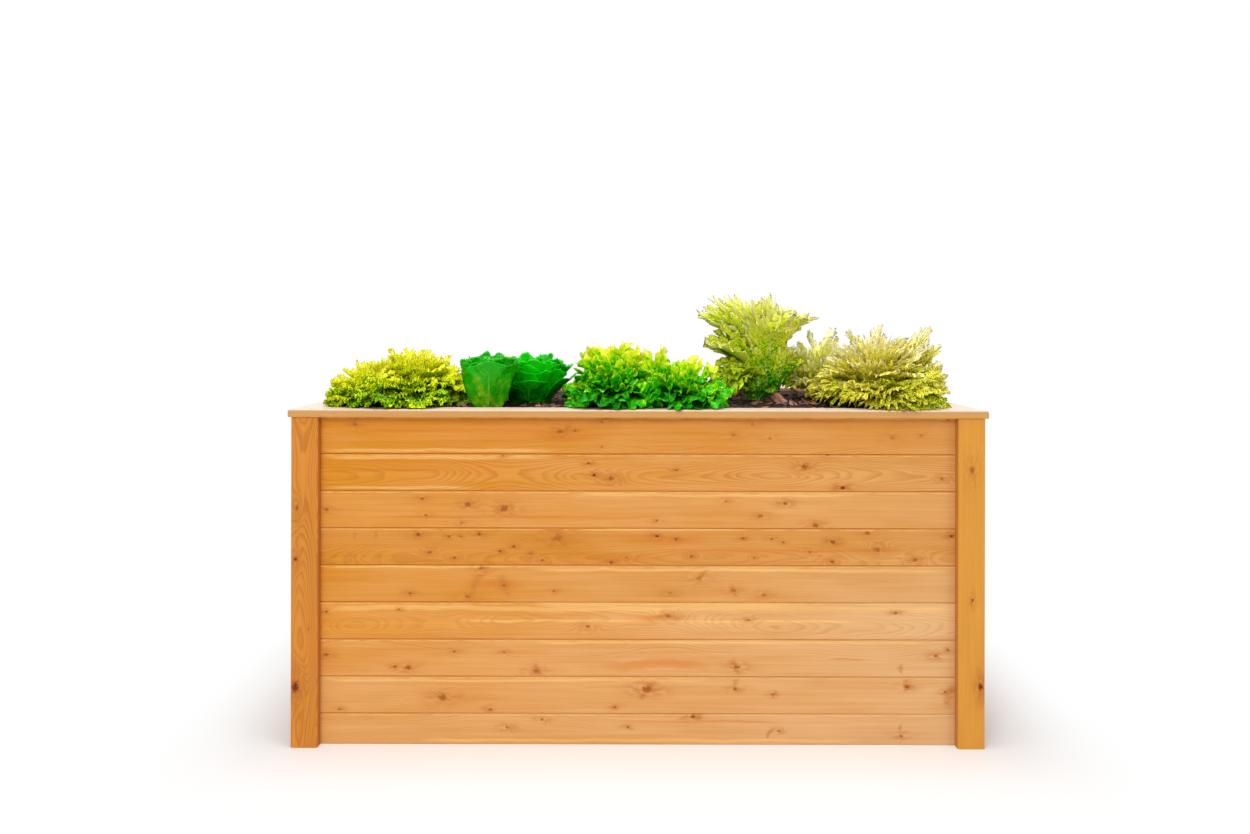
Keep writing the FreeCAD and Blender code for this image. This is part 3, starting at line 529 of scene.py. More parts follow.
CAP_LARCH = (204, 146, 66)
CAP_PALE = (208, 154, 80)
CAP_ROUNDED = (192, 146, 102)
CAP_BLEACHED_AND_LIT = (238, 217, 197)
CAP_RING = 0.0028
CAP_ROUND = (0.008, 0.014)  # up from its underside: where the board's edge is rounded
CAP_TOP = (0.0175, 0.0199)  # and where its top begins
for number, side in enumerate(("front", "back", "left", "right")):
    node = "cap_" + side
    low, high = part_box(node)
    along_x = side in ("front", "back")
    cross = (low.y + high.y) / 2 if along_x else (low.x + high.x) / 2
    seed = float(draw.uniform(0, 80))
    half = 0.88 if along_x else 0.43
    count = int(4 * half + 1)
    knots = draw.uniform((-half, -0.03, 0.003, 0.3), (half, 0.03, 0.006, 0.6), (count, 4)).tolist()
    middle = (0.0, cross, high.z)
    axes = "xyz" if along_x else "yxz"
    pith = (0.055 if number % 2 else -0.060, -0.050)
    pair = CAP_LARCH, CAP_PALE
    board, wood = larch(node, axes, middle, pair, (0.4, 0.6), pith, CAP_RING, seed, 0.4, knots)
    height = board.math("SUBTRACT", board.place()[2], low.z)
    wood = board.mix(board.times(board.smooth(height, *CAP_ROUND), 0.75), wood, linear(CAP_ROUNDED))
    # Painted light: the top is near white, partly bleached and partly lit from above.
    wood = board.mix(board.times(board.smooth(height, *CAP_TOP), 0.80), wood, linear(CAP_BLEACHED_AND_LIT))
    dress(node, board.surface(Base_Color=wood, Coat_Weight=0.45, Coat_Roughness=0.22, Roughness=0.45))


# Battens, tie rod and screws ------------------------------------------------------------------------
# A rough-sawn batten stands inside each long wall, and a zinc-plated rod with nuts and washers ties
# the two. The screws are stainless steel, countersunk, with a drive recess.

BATTEN_LARCH = (196, 150, 96)
BATTEN_RING = 0.0035
BATTEN_KNOTS = [(0.1, 0.01, 0.005, 0.8), (-0.2, -0.01, 0.006, 0.7)]
for number, side in enumerate(("front", "back")):
    node = side + "_batten"
    low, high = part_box(node)
    middle = ((low.z + high.z) / 2, 0.0, high.y)
    pair = BATTEN_LARCH, BATTEN_LARCH
    seed = 31.0 + number
    batten, _ = larch(node, "zxy", middle, pair, (0, 0), (0.05, 0.04), BATTEN_RING, seed, 0.9, BATTEN_KNOTS)
    dress(node, batten.material)


def metal(name, colour, roughness, grain):
    """Bright metal with fine scratches: noise drawn out along X drives the roughness and the bump."""
    g = Graph(name)
    x, y, z = g.place()
    scratch = g.noise(g.times(x, grain / 8), g.times(y, grain), g.times(z, grain), detail=4)
    spots = g.noise(g.times(x, 300), g.times(y, 300), g.times(z, 300), detail=2)
    g.bump(scratch, 0.15, 0.0002)
    tone = g.tinted(linear(colour), g.add(1.0, g.swing(spots, 0.18)))
    return g.surface(Base_Color=tone, Metallic=1.0, Roughness=g.add(roughness, g.swing(scratch, 0.15)))


stainless = metal("stainless_screw", (196, 194, 188), 0.32, 1500)
for node in ("cap_screws", "wall_screws", "batten_screws"):
    dress(node, stainless)
zinc = metal("zinc_steel", (188, 190, 192), 0.38, 900)
for node in ("tie_rod", "tie_rod_nuts"):
    dress(node, zinc)
dress("vole_mesh", metal("galvanised_wire", (150, 153, 156), 0.55, 400))


# Lining ---------------------------------------------------------------------------------------------
# A black dimpled plastic sheet between the wood and the soil, stapled to the planks before filling.
# Its dimples stand in straight rows, and it is a little scuffed.

g = Graph("liner_sheet")
place = g.point()
dimple = g.node("TexVoronoi", {"Vector": place, "Scale": 90.0, "Randomness": 0.0})
scuff = g.clouds(place, 60.0, 4.0)
g.bump(dimple, 0.6, 0.003)
tone = g.tinted(linear((34, 34, 36)), g.add(1.0, g.swing(scuff, 0.3)))
dress("wall_liner", g.surface(Base_Color=tone, Roughness=g.add(0.5, g.swing(scuff, 0.15))))


# Soil -----------------------------------------------------------------------------------------------
# Dark potting soil fills the bed to just under the top of the cap. Its crumbly top layer is mixed
# with flakes of reddish-brown bark.

CROWN_HALF = (0.822, 0.372)  # the foot of the soil's crown, inside the cap
SHOULDER = 0.040  # how wide its sloping sides are
SOIL_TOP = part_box("soil")[1].z
SOIL_EDGE = SOIL_TOP - 0.017
CRUMB_STEP = 0.006
LATTICE = 512  # cells after which the random heights come round again


def ease(value):
    """A cubic ease from 0 to 1."""
    value = np.clip(value, 0, 1)
    return value * value * (3 - 2 * value)


def value_noise(x, y, cell, seed):
    """Random heights on a lattice of the given cell, from -1 to 1, joined by a cubic ease in each cell."""
    table = np.random.default_rng(seed).uniform(-1, 1, (LATTICE, LATTICE))
    column, row = np.floor(x / cell).astype(int), np.floor(y / cell).astype(int)
    along, up = ease(x / cell - column), ease(y / cell - row)
    left, right = column % LATTICE, (column + 1) % LATTICE
    lower, upper = row % LATTICE, (row + 1) % LATTICE
    near = table[lower, left] * (1 - along) + table[lower, right] * along
    far = table[upper, left] * (1 - along) + table[upper, right] * along
    return near * (1 - up) + far * up


def soil_level(x, y):
    """The soil's height: a flat crown with sloping shoulders, plus lumps of three sizes."""
    inside = np.minimum((CROWN_HALF[0] - np.abs(x)) / SHOULDER, (CROWN_HALF[1] - np.abs(y)) / SHOULDER)
    level = SOIL_EDGE + (SOIL_TOP - SOIL_EDGE) * np.clip(inside, 0, 1)
    lumps = 0.0035 * value_noise(x, y, 0.070, 1) + 0.0030 * value_noise(x, y, 0.026, 2)
    crumbs = 0.0022 * value_noise(x, y, 0.011, 3)
    return level + 0.0015 + np.maximum(lumps + crumbs, -0.0010)


def add_object(name, data):
    """An object of the given mesh, lamp or camera, linked to the scene."""
    thing = bpy.data.objects.new(name, data)
    bpy.context.scene.collection.objects.link(thing)
    return thing


def make_mesh(name, points, faces, smooth=True, **attributes):
    """A mesh object from points and faces, with a number at each point for every named attribute."""
    mesh = bpy.data.meshes.new(name)
    mesh.from_pydata(points.reshape(-1, 3).tolist(), [], faces)
    for key, values in attributes.items():
        layer = mesh.attributes.new(key, "FLOAT", "POINT")
        layer.data.foreach_set("value", np.ascontiguousarray(values, dtype=np.float32).ravel())
    mesh.polygons.foreach_set("use_smooth", np.full(len(mesh.polygons), smooth))
    return add_object(name, mesh)


def grid_faces(rows, columns):
    """The four-sided faces of a grid of points, counted row by row."""
    first = (np.arange(rows - 1)[:, None] * columns + np.arange(columns - 1)).ravel()
    return np.stack([first, first + 1, first + columns + 1, first + columns], axis=1).tolist()


def soil_crust():
    """The top layer: a height on a grid, with a skirt all round down to a flat underside in the soil."""
    xs = np.arange(-CROWN_HALF[0] + 0.002, CROWN_HALF[0] - 0.001, CRUMB_STEP)
    ys = np.arange(-CROWN_HALF[1] + 0.002, CROWN_HALF[1] - 0.001, CRUMB_STEP)
    x, y = np.meshgrid(xs, ys)
    top = np.stack([x, y, soil_level(x, y)], axis=-1)
    rows, columns = x.shape
    index = np.arange(rows * columns).reshape(rows, columns)
    edge = np.concatenate([index[0, :-1], index[:-1, -1], index[-1, :0:-1], index[:0:-1, 0]])
    skirt = top.reshape(-1, 3)[edge].copy()
    skirt[:, 2] = SOIL_EDGE - 0.002
    count = len(edge)
    below = rows * columns + np.arange(count)
    walls = np.stack([edge, below, np.roll(below, -1), np.roll(edge, -1)], axis=1)
    faces = grid_faces(rows, columns) + walls.tolist() + [below[::-1].tolist()]
    return make_mesh("soil_crust", np.concatenate([top.reshape(-1, 3), skirt]), faces)


def soil_material():
    """Crumbly soil: fine and coarse noise set how damp, and so how dark, each crumb is."""
    g = Graph("soil")
    place = g.point()
    coarse = g.clouds(place, 60.0, 6.0, 0.65)
    crumb = g.node("TexVoronoi", {"Vector": place, "Scale": 260.0})
    fleck = g.clouds(place, 420.0, 3.0)
    damp = g.mix(g.smooth(coarse, 0.35, 0.68), linear((16, 8, 6)), linear((50, 27, 20)))
    dry = g.mix(g.smooth(fleck, 0.60, 0.72), damp, linear((112, 68, 50)))
    g.bump(g.add(g.times(coarse, 0.6), g.times(crumb, 0.5)), 0.9, 0.004)
    rough = g.smooth(coarse, 0.3, 0.8, 0.75, 0.95)
    return g.surface(Base_Color=dry, Roughness=rough, Specular_IOR_Level=0.25)


soil = soil_material()
dress("soil", soil)
crust = soil_crust()
crust.data.materials.append(soil)
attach(crust, "root")

BARK_CORNERS = 6


def bark_flakes(name, count, middle, reach, longest, tilt, tones, seed):
    """Flat six-cornered flakes on the soil round a middle, each turned, tilted and sized at random."""
    pick = np.random.default_rng(seed)
    spot = middle + pick.uniform(-1, 1, (count, 2)) * reach
    length = longest * (0.24 + 0.76 * pick.uniform(0, 1, count) ** 2)
    shape = np.stack([length, length * pick.uniform(0.25, 0.6, count)], axis=1)
    thick = pick.uniform(0.0012, 0.003, count)
    corners = np.arange(BARK_CORNERS)
    angle = corners * 2 * np.pi / BARK_CORNERS
    ragged = pick.uniform(0.7, 1.15, (count, BARK_CORNERS))
    x = np.cos(angle) * ragged * shape[:, :1]
    y = np.sin(angle) * ragged * shape[:, 1:]
    turn = pick.uniform(0, 2 * np.pi, count)[:, None]
    x, y = x * np.cos(turn) - y * np.sin(turn), x * np.sin(turn) + y * np.cos(turn)
    slope = pick.normal(0, tilt, (count, 2))
    z = x * slope[:, :1] + y * slope[:, 1:]
    ground = soil_level(spot[:, 0], spot[:, 1])[:, None] + 0.0012
    lower = np.stack([spot[:, :1] + x, spot[:, 1:] + y, ground + z], axis=-1)
    upper = lower + thick[:, None, None] * (0, 0, 1)
    points = np.concatenate([lower, upper], axis=1)
    after = (corners + 1) % BARK_CORNERS
    sides = np.stack([corners, after, after + BARK_CORNERS, corners + BARK_CORNERS], axis=1).tolist()
    one = sides + [corners[::-1].tolist(), (corners + BARK_CORNERS).tolist()]
    step = 2 * BARK_CORNERS
    faces = [[step * flake + corner for corner in face] for flake in range(count) for face in one]
    tone = tones[0] + (tones[1] - tones[0]) * pick.uniform(0, 1, count) ** 2
    return make_mesh(name, points, faces, smooth=False, tone=np.repeat(tone, step))


g = Graph("bark")
tone = g.number("tone")
fibre = g.clouds(g.point(), 350.0, 3.0)
bark_colour = g.mix(g.smooth(tone, 0.0, 1.0), linear((44, 22, 16)), linear((172, 112, 88)))
bark_colour = g.mix(g.smooth(tone, 1.0, 2.0), bark_colour, linear((226, 204, 206)))
g.bump(fibre, 0.6, 0.002)
bark = g.surface(Base_Color=g.tinted(bark_colour, g.add(0.75, g.times(fibre, 0.5))), Roughness=0.8)
BARK_LAYERS = {
    "bark_flakes": (1500, (0.0, 0.0), (0.792, 0.342), 0.021, 0.28, (0.0, 1.0), 5),
    "pale_chips": (30, (0.470, -0.150), (0.060, 0.050), 0.018, 0.50, (0.9, 2.0), 8),
}
for name, layer in BARK_LAYERS.items():
    flakes = bark_flakes(name, *layer)
    flakes.data.materials.append(bark)
    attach(flakes, "root")


# Salad leaves ---------------------------------------------------------------------------------------
# Every head is a rosette of thin crisp leaves on a short stem, inner ones upright and outer ones
# leaning out. A leaf is broad above and narrow at its foot, hollow along the midrib, and its margin
# is longer than it has room for, so it ruffles.

LEAF_RINGS = 5
LEAF_POINTS = 136
GOLDEN_TURN = math.pi * (3 - math.sqrt(5))
LEAF_HALF_THICKNESS = 0.0006
FOOT_DEPTH = 0.010  # how deep in the soil a leaf starts
LEAF_NUMBERS = ("margin", "rise", "along", "aside", "leaf")


def leaf_faces(count):
    """The faces of count closed leaves: rings from the pole on top, round the margin, to the pole below."""
    rings = 2 * LEAF_RINGS - 1
    ring = np.arange(rings - 1)[:, None] * LEAF_POINTS + 1
    here = np.arange(LEAF_POINTS)
    after = (here + 1) % LEAF_POINTS
    below = ring + LEAF_POINTS
    quads = np.stack([ring + here, below + here, below + after, ring + after], axis=-1)
    last = 1 + (rings - 1) * LEAF_POINTS
    top = np.stack([0 * here, 1 + here, 1 + after], axis=1)
    bottom = np.stack([0 * here + last + LEAF_POINTS, last + after, last + here], axis=1)
    step = np.arange(count)[:, None, None] * (last + LEAF_POINTS + 1)
    quads = (quads.reshape(-1, 4) + step).reshape(-1, 4)
    caps = (np.concatenate([top, bottom]) + step).reshape(-1, 3)
    return quads.tolist() + caps.tolist()


def rosette(stem, reach, height, count, seed, *, width, spread, curl, ruffle, waves, lobes, lobe_count=9,
            foot=0.3, core=0.008, blunt=0.65, cup=0.25, twist=0.35, lean=(0, 0), turns=None, full=None):
    """The points of one head's leaves, and five numbers at each, as LEAF_NUMBERS names them.

    A leaf is a flat disc in polar form, from 0 at its middle to 1 at its margin. It is drawn out to the
    leaf's length and width, made more square as blunt falls below 1, and narrowed to its foot. Waves
    round the margin, stronger towards it, push it up and down and in and out. The disc is then laid on
    a midrib that is an arc of a circle. The tips lie evenly over an egg of the head's reach and height,
    from spread[0] to spread[1] degrees off the vertical, each at the golden angle from the one before
    or within turns, and curl is how far the arc turns to each side of the line from foot to tip. full
    is the height at which the number rise is 1, where it isn't the head's own.
    """
    pick = np.random.default_rng(seed)

    def column(low_value, high_value):
        return pick.uniform(low_value, high_value, (count, 1, 1))

    order = (np.arange(count) / max(count - 1, 1))[:, None, None]
    first, last = np.cos(np.radians(spread))
    lie = np.arccos(np.clip(first + (last - first) * order, -1, 1)) + np.radians(column(-4, 4))
    arc = np.radians(curl * (0.35 + 0.65 * order) + column(-4, 4))
    start, finish = lie - arc, lie + arc
    turn = np.arange(count)[:, None, None] * GOLDEN_TURN + column(-0.2, 0.2)
    if turns is not None:
        share = (np.arange(count) * 0.618) % 1
        turn = np.radians(turns[0] + (turns[1] - turns[0]) * share)[:, None, None]

    curve = finish - start
    chord = np.sin(curve / 2) / (curve / 2)
    egg = 1 / np.sqrt((np.sin(lie) / reach) ** 2 + (np.cos(lie) / height) ** 2)
    length = egg / chord * column(0.90, 1.03)
    half_width = width / 2 * column(0.85, 1.15) * (0.75 + 0.25 * order)

    level = np.arange(1, 2 * LEAF_RINGS) / LEAF_RINGS * np.pi / 2
    disc = np.concatenate([[0.0], np.repeat(np.sin(level), LEAF_POINTS), [0.0]])[None, :, None]
    face = np.concatenate([[1.0], np.repeat(np.cos(level), LEAF_POINTS), [-1.0]])[None, :, None]
    round_once = np.arange(LEAF_POINTS) * 2 * np.pi / LEAF_POINTS
    angle = np.concatenate([[0.0], np.tile(round_once, 2 * LEAF_RINGS - 1), [0.0]])[None, :, None]

    phase = [column(0, 2 * np.pi) for _ in range(5)]
    margin = disc**4
    lobed = disc * (1 + lobes * margin * np.cos(lobe_count * angle + phase[0] + np.sin(2 * angle)))
    along = 0.5 + 0.5 * lobed * np.sign(np.cos(angle)) * np.abs(np.cos(angle)) ** blunt
    narrow = foot + (1 - foot) * ease(along / 0.70)
    aside = half_width * lobed * np.sign(np.sin(angle)) * np.abs(np.sin(angle)) ** 0.85 * narrow
    beat = 1 + 0.6 * np.sin(5 * angle + phase[3]) * np.sin(2 * angle + phase[4])
    winding = waves * angle + phase[1] + 1.3 * np.sin(3 * angle + phase[2])
    push = ruffle * margin * beat * (0.30 + 0.70 * narrow)
    slow = 0.6 * ruffle * disc**2 * np.sin(4 * angle + phase[2])
    lift = push * np.sin(winding) + slow + cup * aside**2 / half_width + face * LEAF_HALF_THICKNESS
    fan = 0.6 * push * np.cos(winding)
    flat = aside
    aside = aside + fan * np.sin(angle)
    along = along + fan * np.cos(angle) / length

    roll = column(-twist, twist) * along
    aside, lift = aside * np.cos(roll) - lift * np.sin(roll), aside * np.sin(roll) + lift * np.cos(roll)
    bend = start + curve * along
    out = core + length * (np.cos(start) - np.cos(bend)) / curve - lift * np.cos(bend)
    up = length * (np.sin(bend) - np.sin(start)) / curve + lift * np.sin(bend)
    rise = np.clip(up / (full or height), 0, 1)
    x = stem[0] + out * np.cos(turn) - aside * np.sin(turn) + lean[0] * rise**2
    y = stem[1] + out * np.sin(turn) + aside * np.cos(turn) + lean[1] * rise**2
    z = stem[2] + np.maximum(up, FOOT_DEPTH * ease(along / 0.2) + 0.003 * disc)
    points = np.concatenate([x, y, z], axis=2)
    numbers = (disc**2, rise, along, flat, column(0, 1))
    return points, [np.broadcast_to(number, rise.shape) for number in numbers]


def leafy_piece(name, node, heads, material):
    """Joins heads into one piece of leaves that stands for a node of the frame."""
    points = np.concatenate([head[0] for head in heads])
    numbers = [np.concatenate([head[1][place] for head in heads]) for place in range(len(LEAF_NUMBERS))]
    piece = make_mesh(name, points, leaf_faces(len(points)), **dict(zip(LEAF_NUMBERS, numbers)))
    piece.data.materials.append(material)
    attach(piece, "root")
    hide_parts(node)


def leaf_material(name, colours, rib, weights, speckle, gloss=0.55, shine=0.08, veins=0.3):
    """Leaf green that turns through the given colours, from the heart to the margin and the top: partly
    the lettuce's own green and yellow, partly painted shade low in the head and painted sunlight high up.

    weights: how much the height in the head, the closeness to the margin, noise and the leaf's own luck
    count. The midrib is drawn where aside is nearly 0, and the side veins run off it at a slant.
    """
    g = Graph(name)
    margin, rise, along, aside, leaf = (g.number(key) for key in LEAF_NUMBERS)
    place = g.point()
    mottle = g.clouds(place, speckle, 4.0, 0.6)
    blister = g.node("TexVoronoi", {"Vector": place, "Scale": 130.0}, feature="SMOOTH_F1")
    light = g.add(g.times(rise, weights[0]), g.times(margin, weights[1]), g.swing(mottle, weights[2]))
    light = g.add(light, g.times(g.math("SUBTRACT", leaf, 0.5), weights[3]))
    ramp = g.tree.nodes.new("ShaderNodeValToRGB")
    while len(ramp.color_ramp.elements) < len(colours):
        ramp.color_ramp.elements.new(0.5)
    for number, colour in enumerate(colours):
        element = ramp.color_ramp.elements[number]
        element.position = number / (len(colours) - 1)
        element.color = linear(colour)
    g.feed(ramp.inputs[0], light)
    off = g.math("ABSOLUTE", aside)
    midrib = g.smooth(g.add(off, g.times(along, 0.0035)), 0.0055, 0.0015)
    midrib = g.times(midrib, g.smooth(along, 1.0, 0.5))
    wander = g.swing(mottle, 0.9)
    slant = g.math("FRACT", g.add(g.times(along, 8.0), g.times(off, -75.0), wander, g.times(leaf, 5.0)))
    branch = g.smooth(g.math("ABSOLUTE", g.add(slant, -0.5)), 0.16, 0.02)
    branch = g.times(branch, g.smooth(margin, 0.95, 0.4))
    vein = g.math("MAXIMUM", midrib, g.times(branch, veins))
    colour = g.mix(g.times(vein, 0.8), ramp.outputs[0], linear(rib))
    g.bump(g.add(blister, g.times(mottle, 0.4), g.times(vein, -0.5)), 0.5, 0.0022)
    return g.surface(Base_Color=colour, Roughness=gloss, Specular_IOR_Level=shine, Subsurface_Weight=0.4,
                     Subsurface_Radius=(0.9, 1.0, 0.4), Subsurface_Scale=0.0008)


STEM_FOOT = SOIL_TOP - FOOT_DEPTH
FRINGE_FOOT = SOIL_TOP + 0.002  # the lowest front leaves start here and lie on the cap

# Frilly lettuce: a low, dense, finely frilled head, yellow in the sun and deep green underneath, with
# a smaller tuft in front of it. Its left leaves lie over the end of the bed, its front ones on the cap.
FRILLY = dict(ruffle=0.0060, waves=27, lobes=0.08)
frilly_leaf = leaf_material(
    "frilly_leaf",
    [(14, 96, 2), (60, 150, 4), (168, 212, 10), (248, 244, 12), (255, 248, 34), (255, 252, 110)],
    (240, 244, 160), weights=(0.70, 0.28, 1.20, 0.20), speckle=190.0)
frilly_head = rosette((-0.652, -0.168, STEM_FOOT), 0.166, 0.174, 70, 21, width=0.104,
                      spread=(4, 92), curl=60, **FRILLY)
frilly_tuft = rosette((-0.752, -0.300, STEM_FOOT), 0.102, 0.144, 44, 22, width=0.078,
                      spread=(4, 84), curl=58, full=0.164, **FRILLY)
frilly_bridge = rosette((-0.724, -0.220, STEM_FOOT), 0.090, 0.158, 24, 23, width=0.084,
                        spread=(4, 66), curl=60, **FRILLY)
frilly_fringe = rosette((-0.640, -0.262, FRINGE_FOOT), 0.188, 0.110, 20, 24, width=0.080,
                        spread=(58, 90), curl=44, turns=(-140, -42), full=0.230, **FRILLY)
leafy_piece("frilly_lettuce_leaves", "frilly_lettuce", [frilly_head], frilly_leaf)
leafy_piece("frilly_tuft_leaves", "frilly_lettuce", [frilly_tuft, frilly_bridge], frilly_leaf)
leafy_piece("frilly_fringe_leaves", "frilly_lettuce", [frilly_fringe], frilly_leaf)

# Pale romaine: upright spoon-shaped leaves with a broad pale rib, wrapped round each other.
ROMAINE = dict(foot=0.80, waves=7, lobes=0.02, lobe_count=5, twist=0.12)
pale_romaine_leaf = leaf_material(
    "pale_romaine_leaf",
    [(144, 204, 20), (66, 190, 10), (20, 178, 4), (8, 170, 3), (28, 192, 6), (140, 222, 24)],
    (150, 198, 60), weights=(0.60, 0.14, 0.70, 0.30), speckle=34.0, gloss=0.34, shine=0.25, veins=0.20)
leafy_piece("pale_romaine_leaves", "pale_romaine", [
    rosette((-0.420, -0.262, STEM_FOOT), 0.125, 0.168, 16, 31, width=0.090, spread=(2, 24), curl=6,
            core=0.022, ruffle=0.006, cup=0.5, **ROMAINE),
    rosette((-0.420, -0.262, STEM_FOOT), 0.140, 0.160, 5, 36, width=0.130, spread=(15, 24), curl=5,
            core=0.034, ruffle=0.004, cup=0.35, turns=(-165, 15), **ROMAINE),
], pale_romaine_leaf)

# Dark romaine: the same kind, deeper green, with broad leaves that lean to the right.
dark_romaine_leaf = leaf_material(
    "dark_romaine_leaf",
    [(2, 132, 2), (5, 188, 3), (10, 218, 4), (26, 232, 12), (100, 242, 66)],
    (104, 214, 76), weights=(0.30, 0.20, 0.50, 0.35), speckle=34.0, gloss=0.30, shine=0.30, veins=0.25)
leafy_piece("dark_romaine_leaves", "dark_romaine", [
    rosette((-0.304, -0.110, STEM_FOOT), 0.130, 0.160, 16, 32, width=0.104, spread=(2, 34), curl=8,
            core=0.020, ruffle=0.005, cup=0.5, **ROMAINE),
    rosette((-0.304, -0.110, STEM_FOOT), 0.145, 0.154, 7, 37, width=0.140, spread=(20, 42), curl=10,
            core=0.028, ruffle=0.003, cup=0.25, turns=(-130, 40), **ROMAINE),
    rosette((-0.326, -0.130, STEM_FOOT), 0.112, 0.128, 6, 38, width=0.128, spread=(26, 54), curl=9,
            core=0.024, ruffle=0.003, cup=0.25, turns=(-195, -60), **ROMAINE),
], dark_romaine_leaf)

# Curly lettuce: heads grown together, with broad smooth lobes low down and curled yellow tips.
CURLY = dict(ruffle=0.010, waves=7, lobes=0.10, lobe_count=6, foot=0.4, cup=0.2, blunt=0.45, twist=0.6)
curly_leaf = leaf_material(
    "curly_leaf",
    [(4, 116, 2), (14, 166, 3), (68, 202, 5), (190, 232, 10), (250, 250, 28), (254, 254, 110)],
    (180, 230, 90), weights=(0.68, 0.18, 0.85, 0.35), speckle=85.0, gloss=0.40, shine=0.15)
curly_head = rosette((-0.062, -0.186, STEM_FOOT), 0.146, 0.198, 70, 41, width=0.084,
                     spread=(4, 94), curl=54, **CURLY)
curly_side = rosette((0.145, -0.222, STEM_FOOT), 0.110, 0.162, 42, 42, width=0.078,
                     spread=(4, 92), curl=54, **CURLY)
curly_bridge = rosette((0.052, -0.200, STEM_FOOT), 0.095, 0.182, 28, 43, width=0.080,
                       spread=(4, 64), curl=46, **CURLY)
curly_fringe = [
    rosette((-0.060, -0.262, FRINGE_FOOT), 0.186, 0.110, 18, 44, width=0.080, spread=(56, 90),
            curl=44, turns=(-128, -45), full=0.300, **CURLY),
    rosette((0.120, -0.270, FRINGE_FOOT), 0.178, 0.110, 15, 45, width=0.076, spread=(56, 90),
            curl=44, turns=(-135, -40), full=0.300, **CURLY),
]
leafy_piece("curly_lettuce_leaves", "curly_lettuce", [curly_head], curly_leaf)
leafy_piece("curly_side_leaves", "curly_lettuce", [curly_side, curly_bridge], curly_leaf)
leafy_piece("curly_fringe_leaves", "curly_lettuce", curly_fringe, curly_leaf)

# Tall lettuce: a bolting head like a vase, long ruffled leaves on a narrow pale foot. A few lower
# leaves hang out to the left.
TALL_STEM = (0.411, -0.048, SOIL_TOP + 0.010)
TALL = dict(foot=0.12, ruffle=0.0070, waves=25, lobes=0.13, lobe_count=13, blunt=0.5)
tall_leaf = leaf_material(
    "tall_leaf",
    [(20, 146, 10), (84, 190, 14), (206, 238, 26), (250, 252, 48), (254, 254, 96), (254, 254, 190)],
    (244, 248, 210), weights=(0.86, 0.20, 1.20, 0.50), speckle=130.0, veins=0.10)
tall_hanging_leaf = leaf_material(
    "tall_hanging_leaf",
    [(140, 190, 14), (200, 222, 32), (236, 242, 60), (250, 250, 110)],
    (236, 244, 170), weights=(0.55, 0.25, 0.60, 0.40), speckle=70.0, veins=0.25)
leafy_piece("tall_lettuce_leaves", "tall_lettuce", [
    rosette(TALL_STEM, 0.270, 0.316, 40, 51, width=0.116, spread=(2, 34), curl=36,
            lean=(-0.080, 0), **TALL),
    rosette(TALL_STEM, 0.250, 0.280, 9, 52, width=0.124, spread=(30, 52), curl=30,
            turns=(165, 205), **TALL),
    rosette(TALL_STEM, 0.120, 0.230, 9, 53, width=0.070, spread=(6, 34), curl=8,
            turns=(210, 330), **TALL),
    rosette((0.366, -0.062, STEM_FOOT), 0.070, 0.150, 12, 55, width=0.070, spread=(4, 56), curl=30,
            full=0.40, **TALL),
], tall_leaf)
leafy_piece("tall_hanging_leaves", "tall_lettuce", [
    rosette(TALL_STEM, 0.182, 0.200, 13, 54, width=0.084, spread=(50, 90), curl=88,
            turns=(182, 224), **TALL),
], tall_hanging_leaf)

# Its thick stalk shows above the soil, with an old root laid bare beside it. Both are pale and scarred
# where the lowest leaves were broken off.
STALK_RING = 24
STALK_SCARS = 9
STALK_STEPS = 8


def stalk_tube(name, path, radii, seed):
    """A closed bent rod: rings round a path, their radius scarred by two sines round and along it.

    The path runs straight between its points, with each corner then rounded by averaging every step
    with its neighbours. A ring stands square to the path there.
    """
    knots = np.arange(len(path))
    fine = np.linspace(0, len(path) - 1, STALK_STEPS * (len(path) - 1) + 1)
    centre = np.stack([np.interp(fine, knots, np.array(path)[:, axis]) for axis in range(3)], axis=1)
    centre[1:-1] = (centre[:-2] + 2 * centre[1:-1] + centre[2:]) / 4
    ahead = np.gradient(centre, axis=0)
    ahead /= np.linalg.norm(ahead, axis=1, keepdims=True)
    level = np.cross(ahead, (0.3, -1.0, 0.2))
    level /= np.linalg.norm(level, axis=1, keepdims=True)
    upright = np.cross(ahead, level)
    turn = np.arange(STALK_RING) * 2 * np.pi / STALK_RING
    scars = 1 + 0.10 * np.sin(STALK_SCARS * fine[:, None] + 2 * turn) + 0.05 * np.sin(5 * turn + seed)
    ring = np.cos(turn)[:, None] * level[:, None, :] + np.sin(turn)[:, None] * upright[:, None, :]
    points = centre[:, None, :] + ring * (np.interp(fine, knots, radii)[:, None] * scars)[:, :, None]
    index = np.arange(len(fine) * STALK_RING).reshape(len(fine), STALK_RING)
    after = np.roll(index, -1, axis=1)
    sides = np.stack([index[:-1], after[:-1], after[1:], index[1:]], axis=-1).reshape(-1, 4)
    faces = sides.tolist() + [index[0, ::-1].tolist(), index[-1].tolist()]
    return make_mesh(name, points, faces)


g = Graph("stalk")
place = g.point()
cork = g.clouds(place, 160.0, 4.0)
scar = g.clouds(place, 45.0, 2.0)
pale = g.mix(g.smooth(scar, 0.42, 0.62), linear((214, 172, 152)), linear((158, 102, 76)))
g.bump(cork, 0.5, 0.002)
stalk_skin = g.surface(Base_Color=g.tinted(pale, g.add(0.8, g.times(cork, 0.4))), Roughness=0.6)
STALKS = {
    "tall_lettuce_stalk": (
        ((0.411, -0.048, 0.850), (0.412, -0.048, 0.880), (0.408, -0.047, 0.930)), (0.019, 0.017, 0.009)),
    "tall_lettuce_root": (
        ((0.406, -0.058, 0.900), (0.416, -0.094, 0.886), (0.444, -0.138, 0.866)), (0.012, 0.015, 0.010)),
}
for number, (name, (path, radii)) in enumerate(STALKS.items()):
    stalk = stalk_tube(name, path, radii, number)
    stalk.data.materials.append(stalk_skin)
    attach(stalk, "root")
    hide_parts("tall_lettuce")

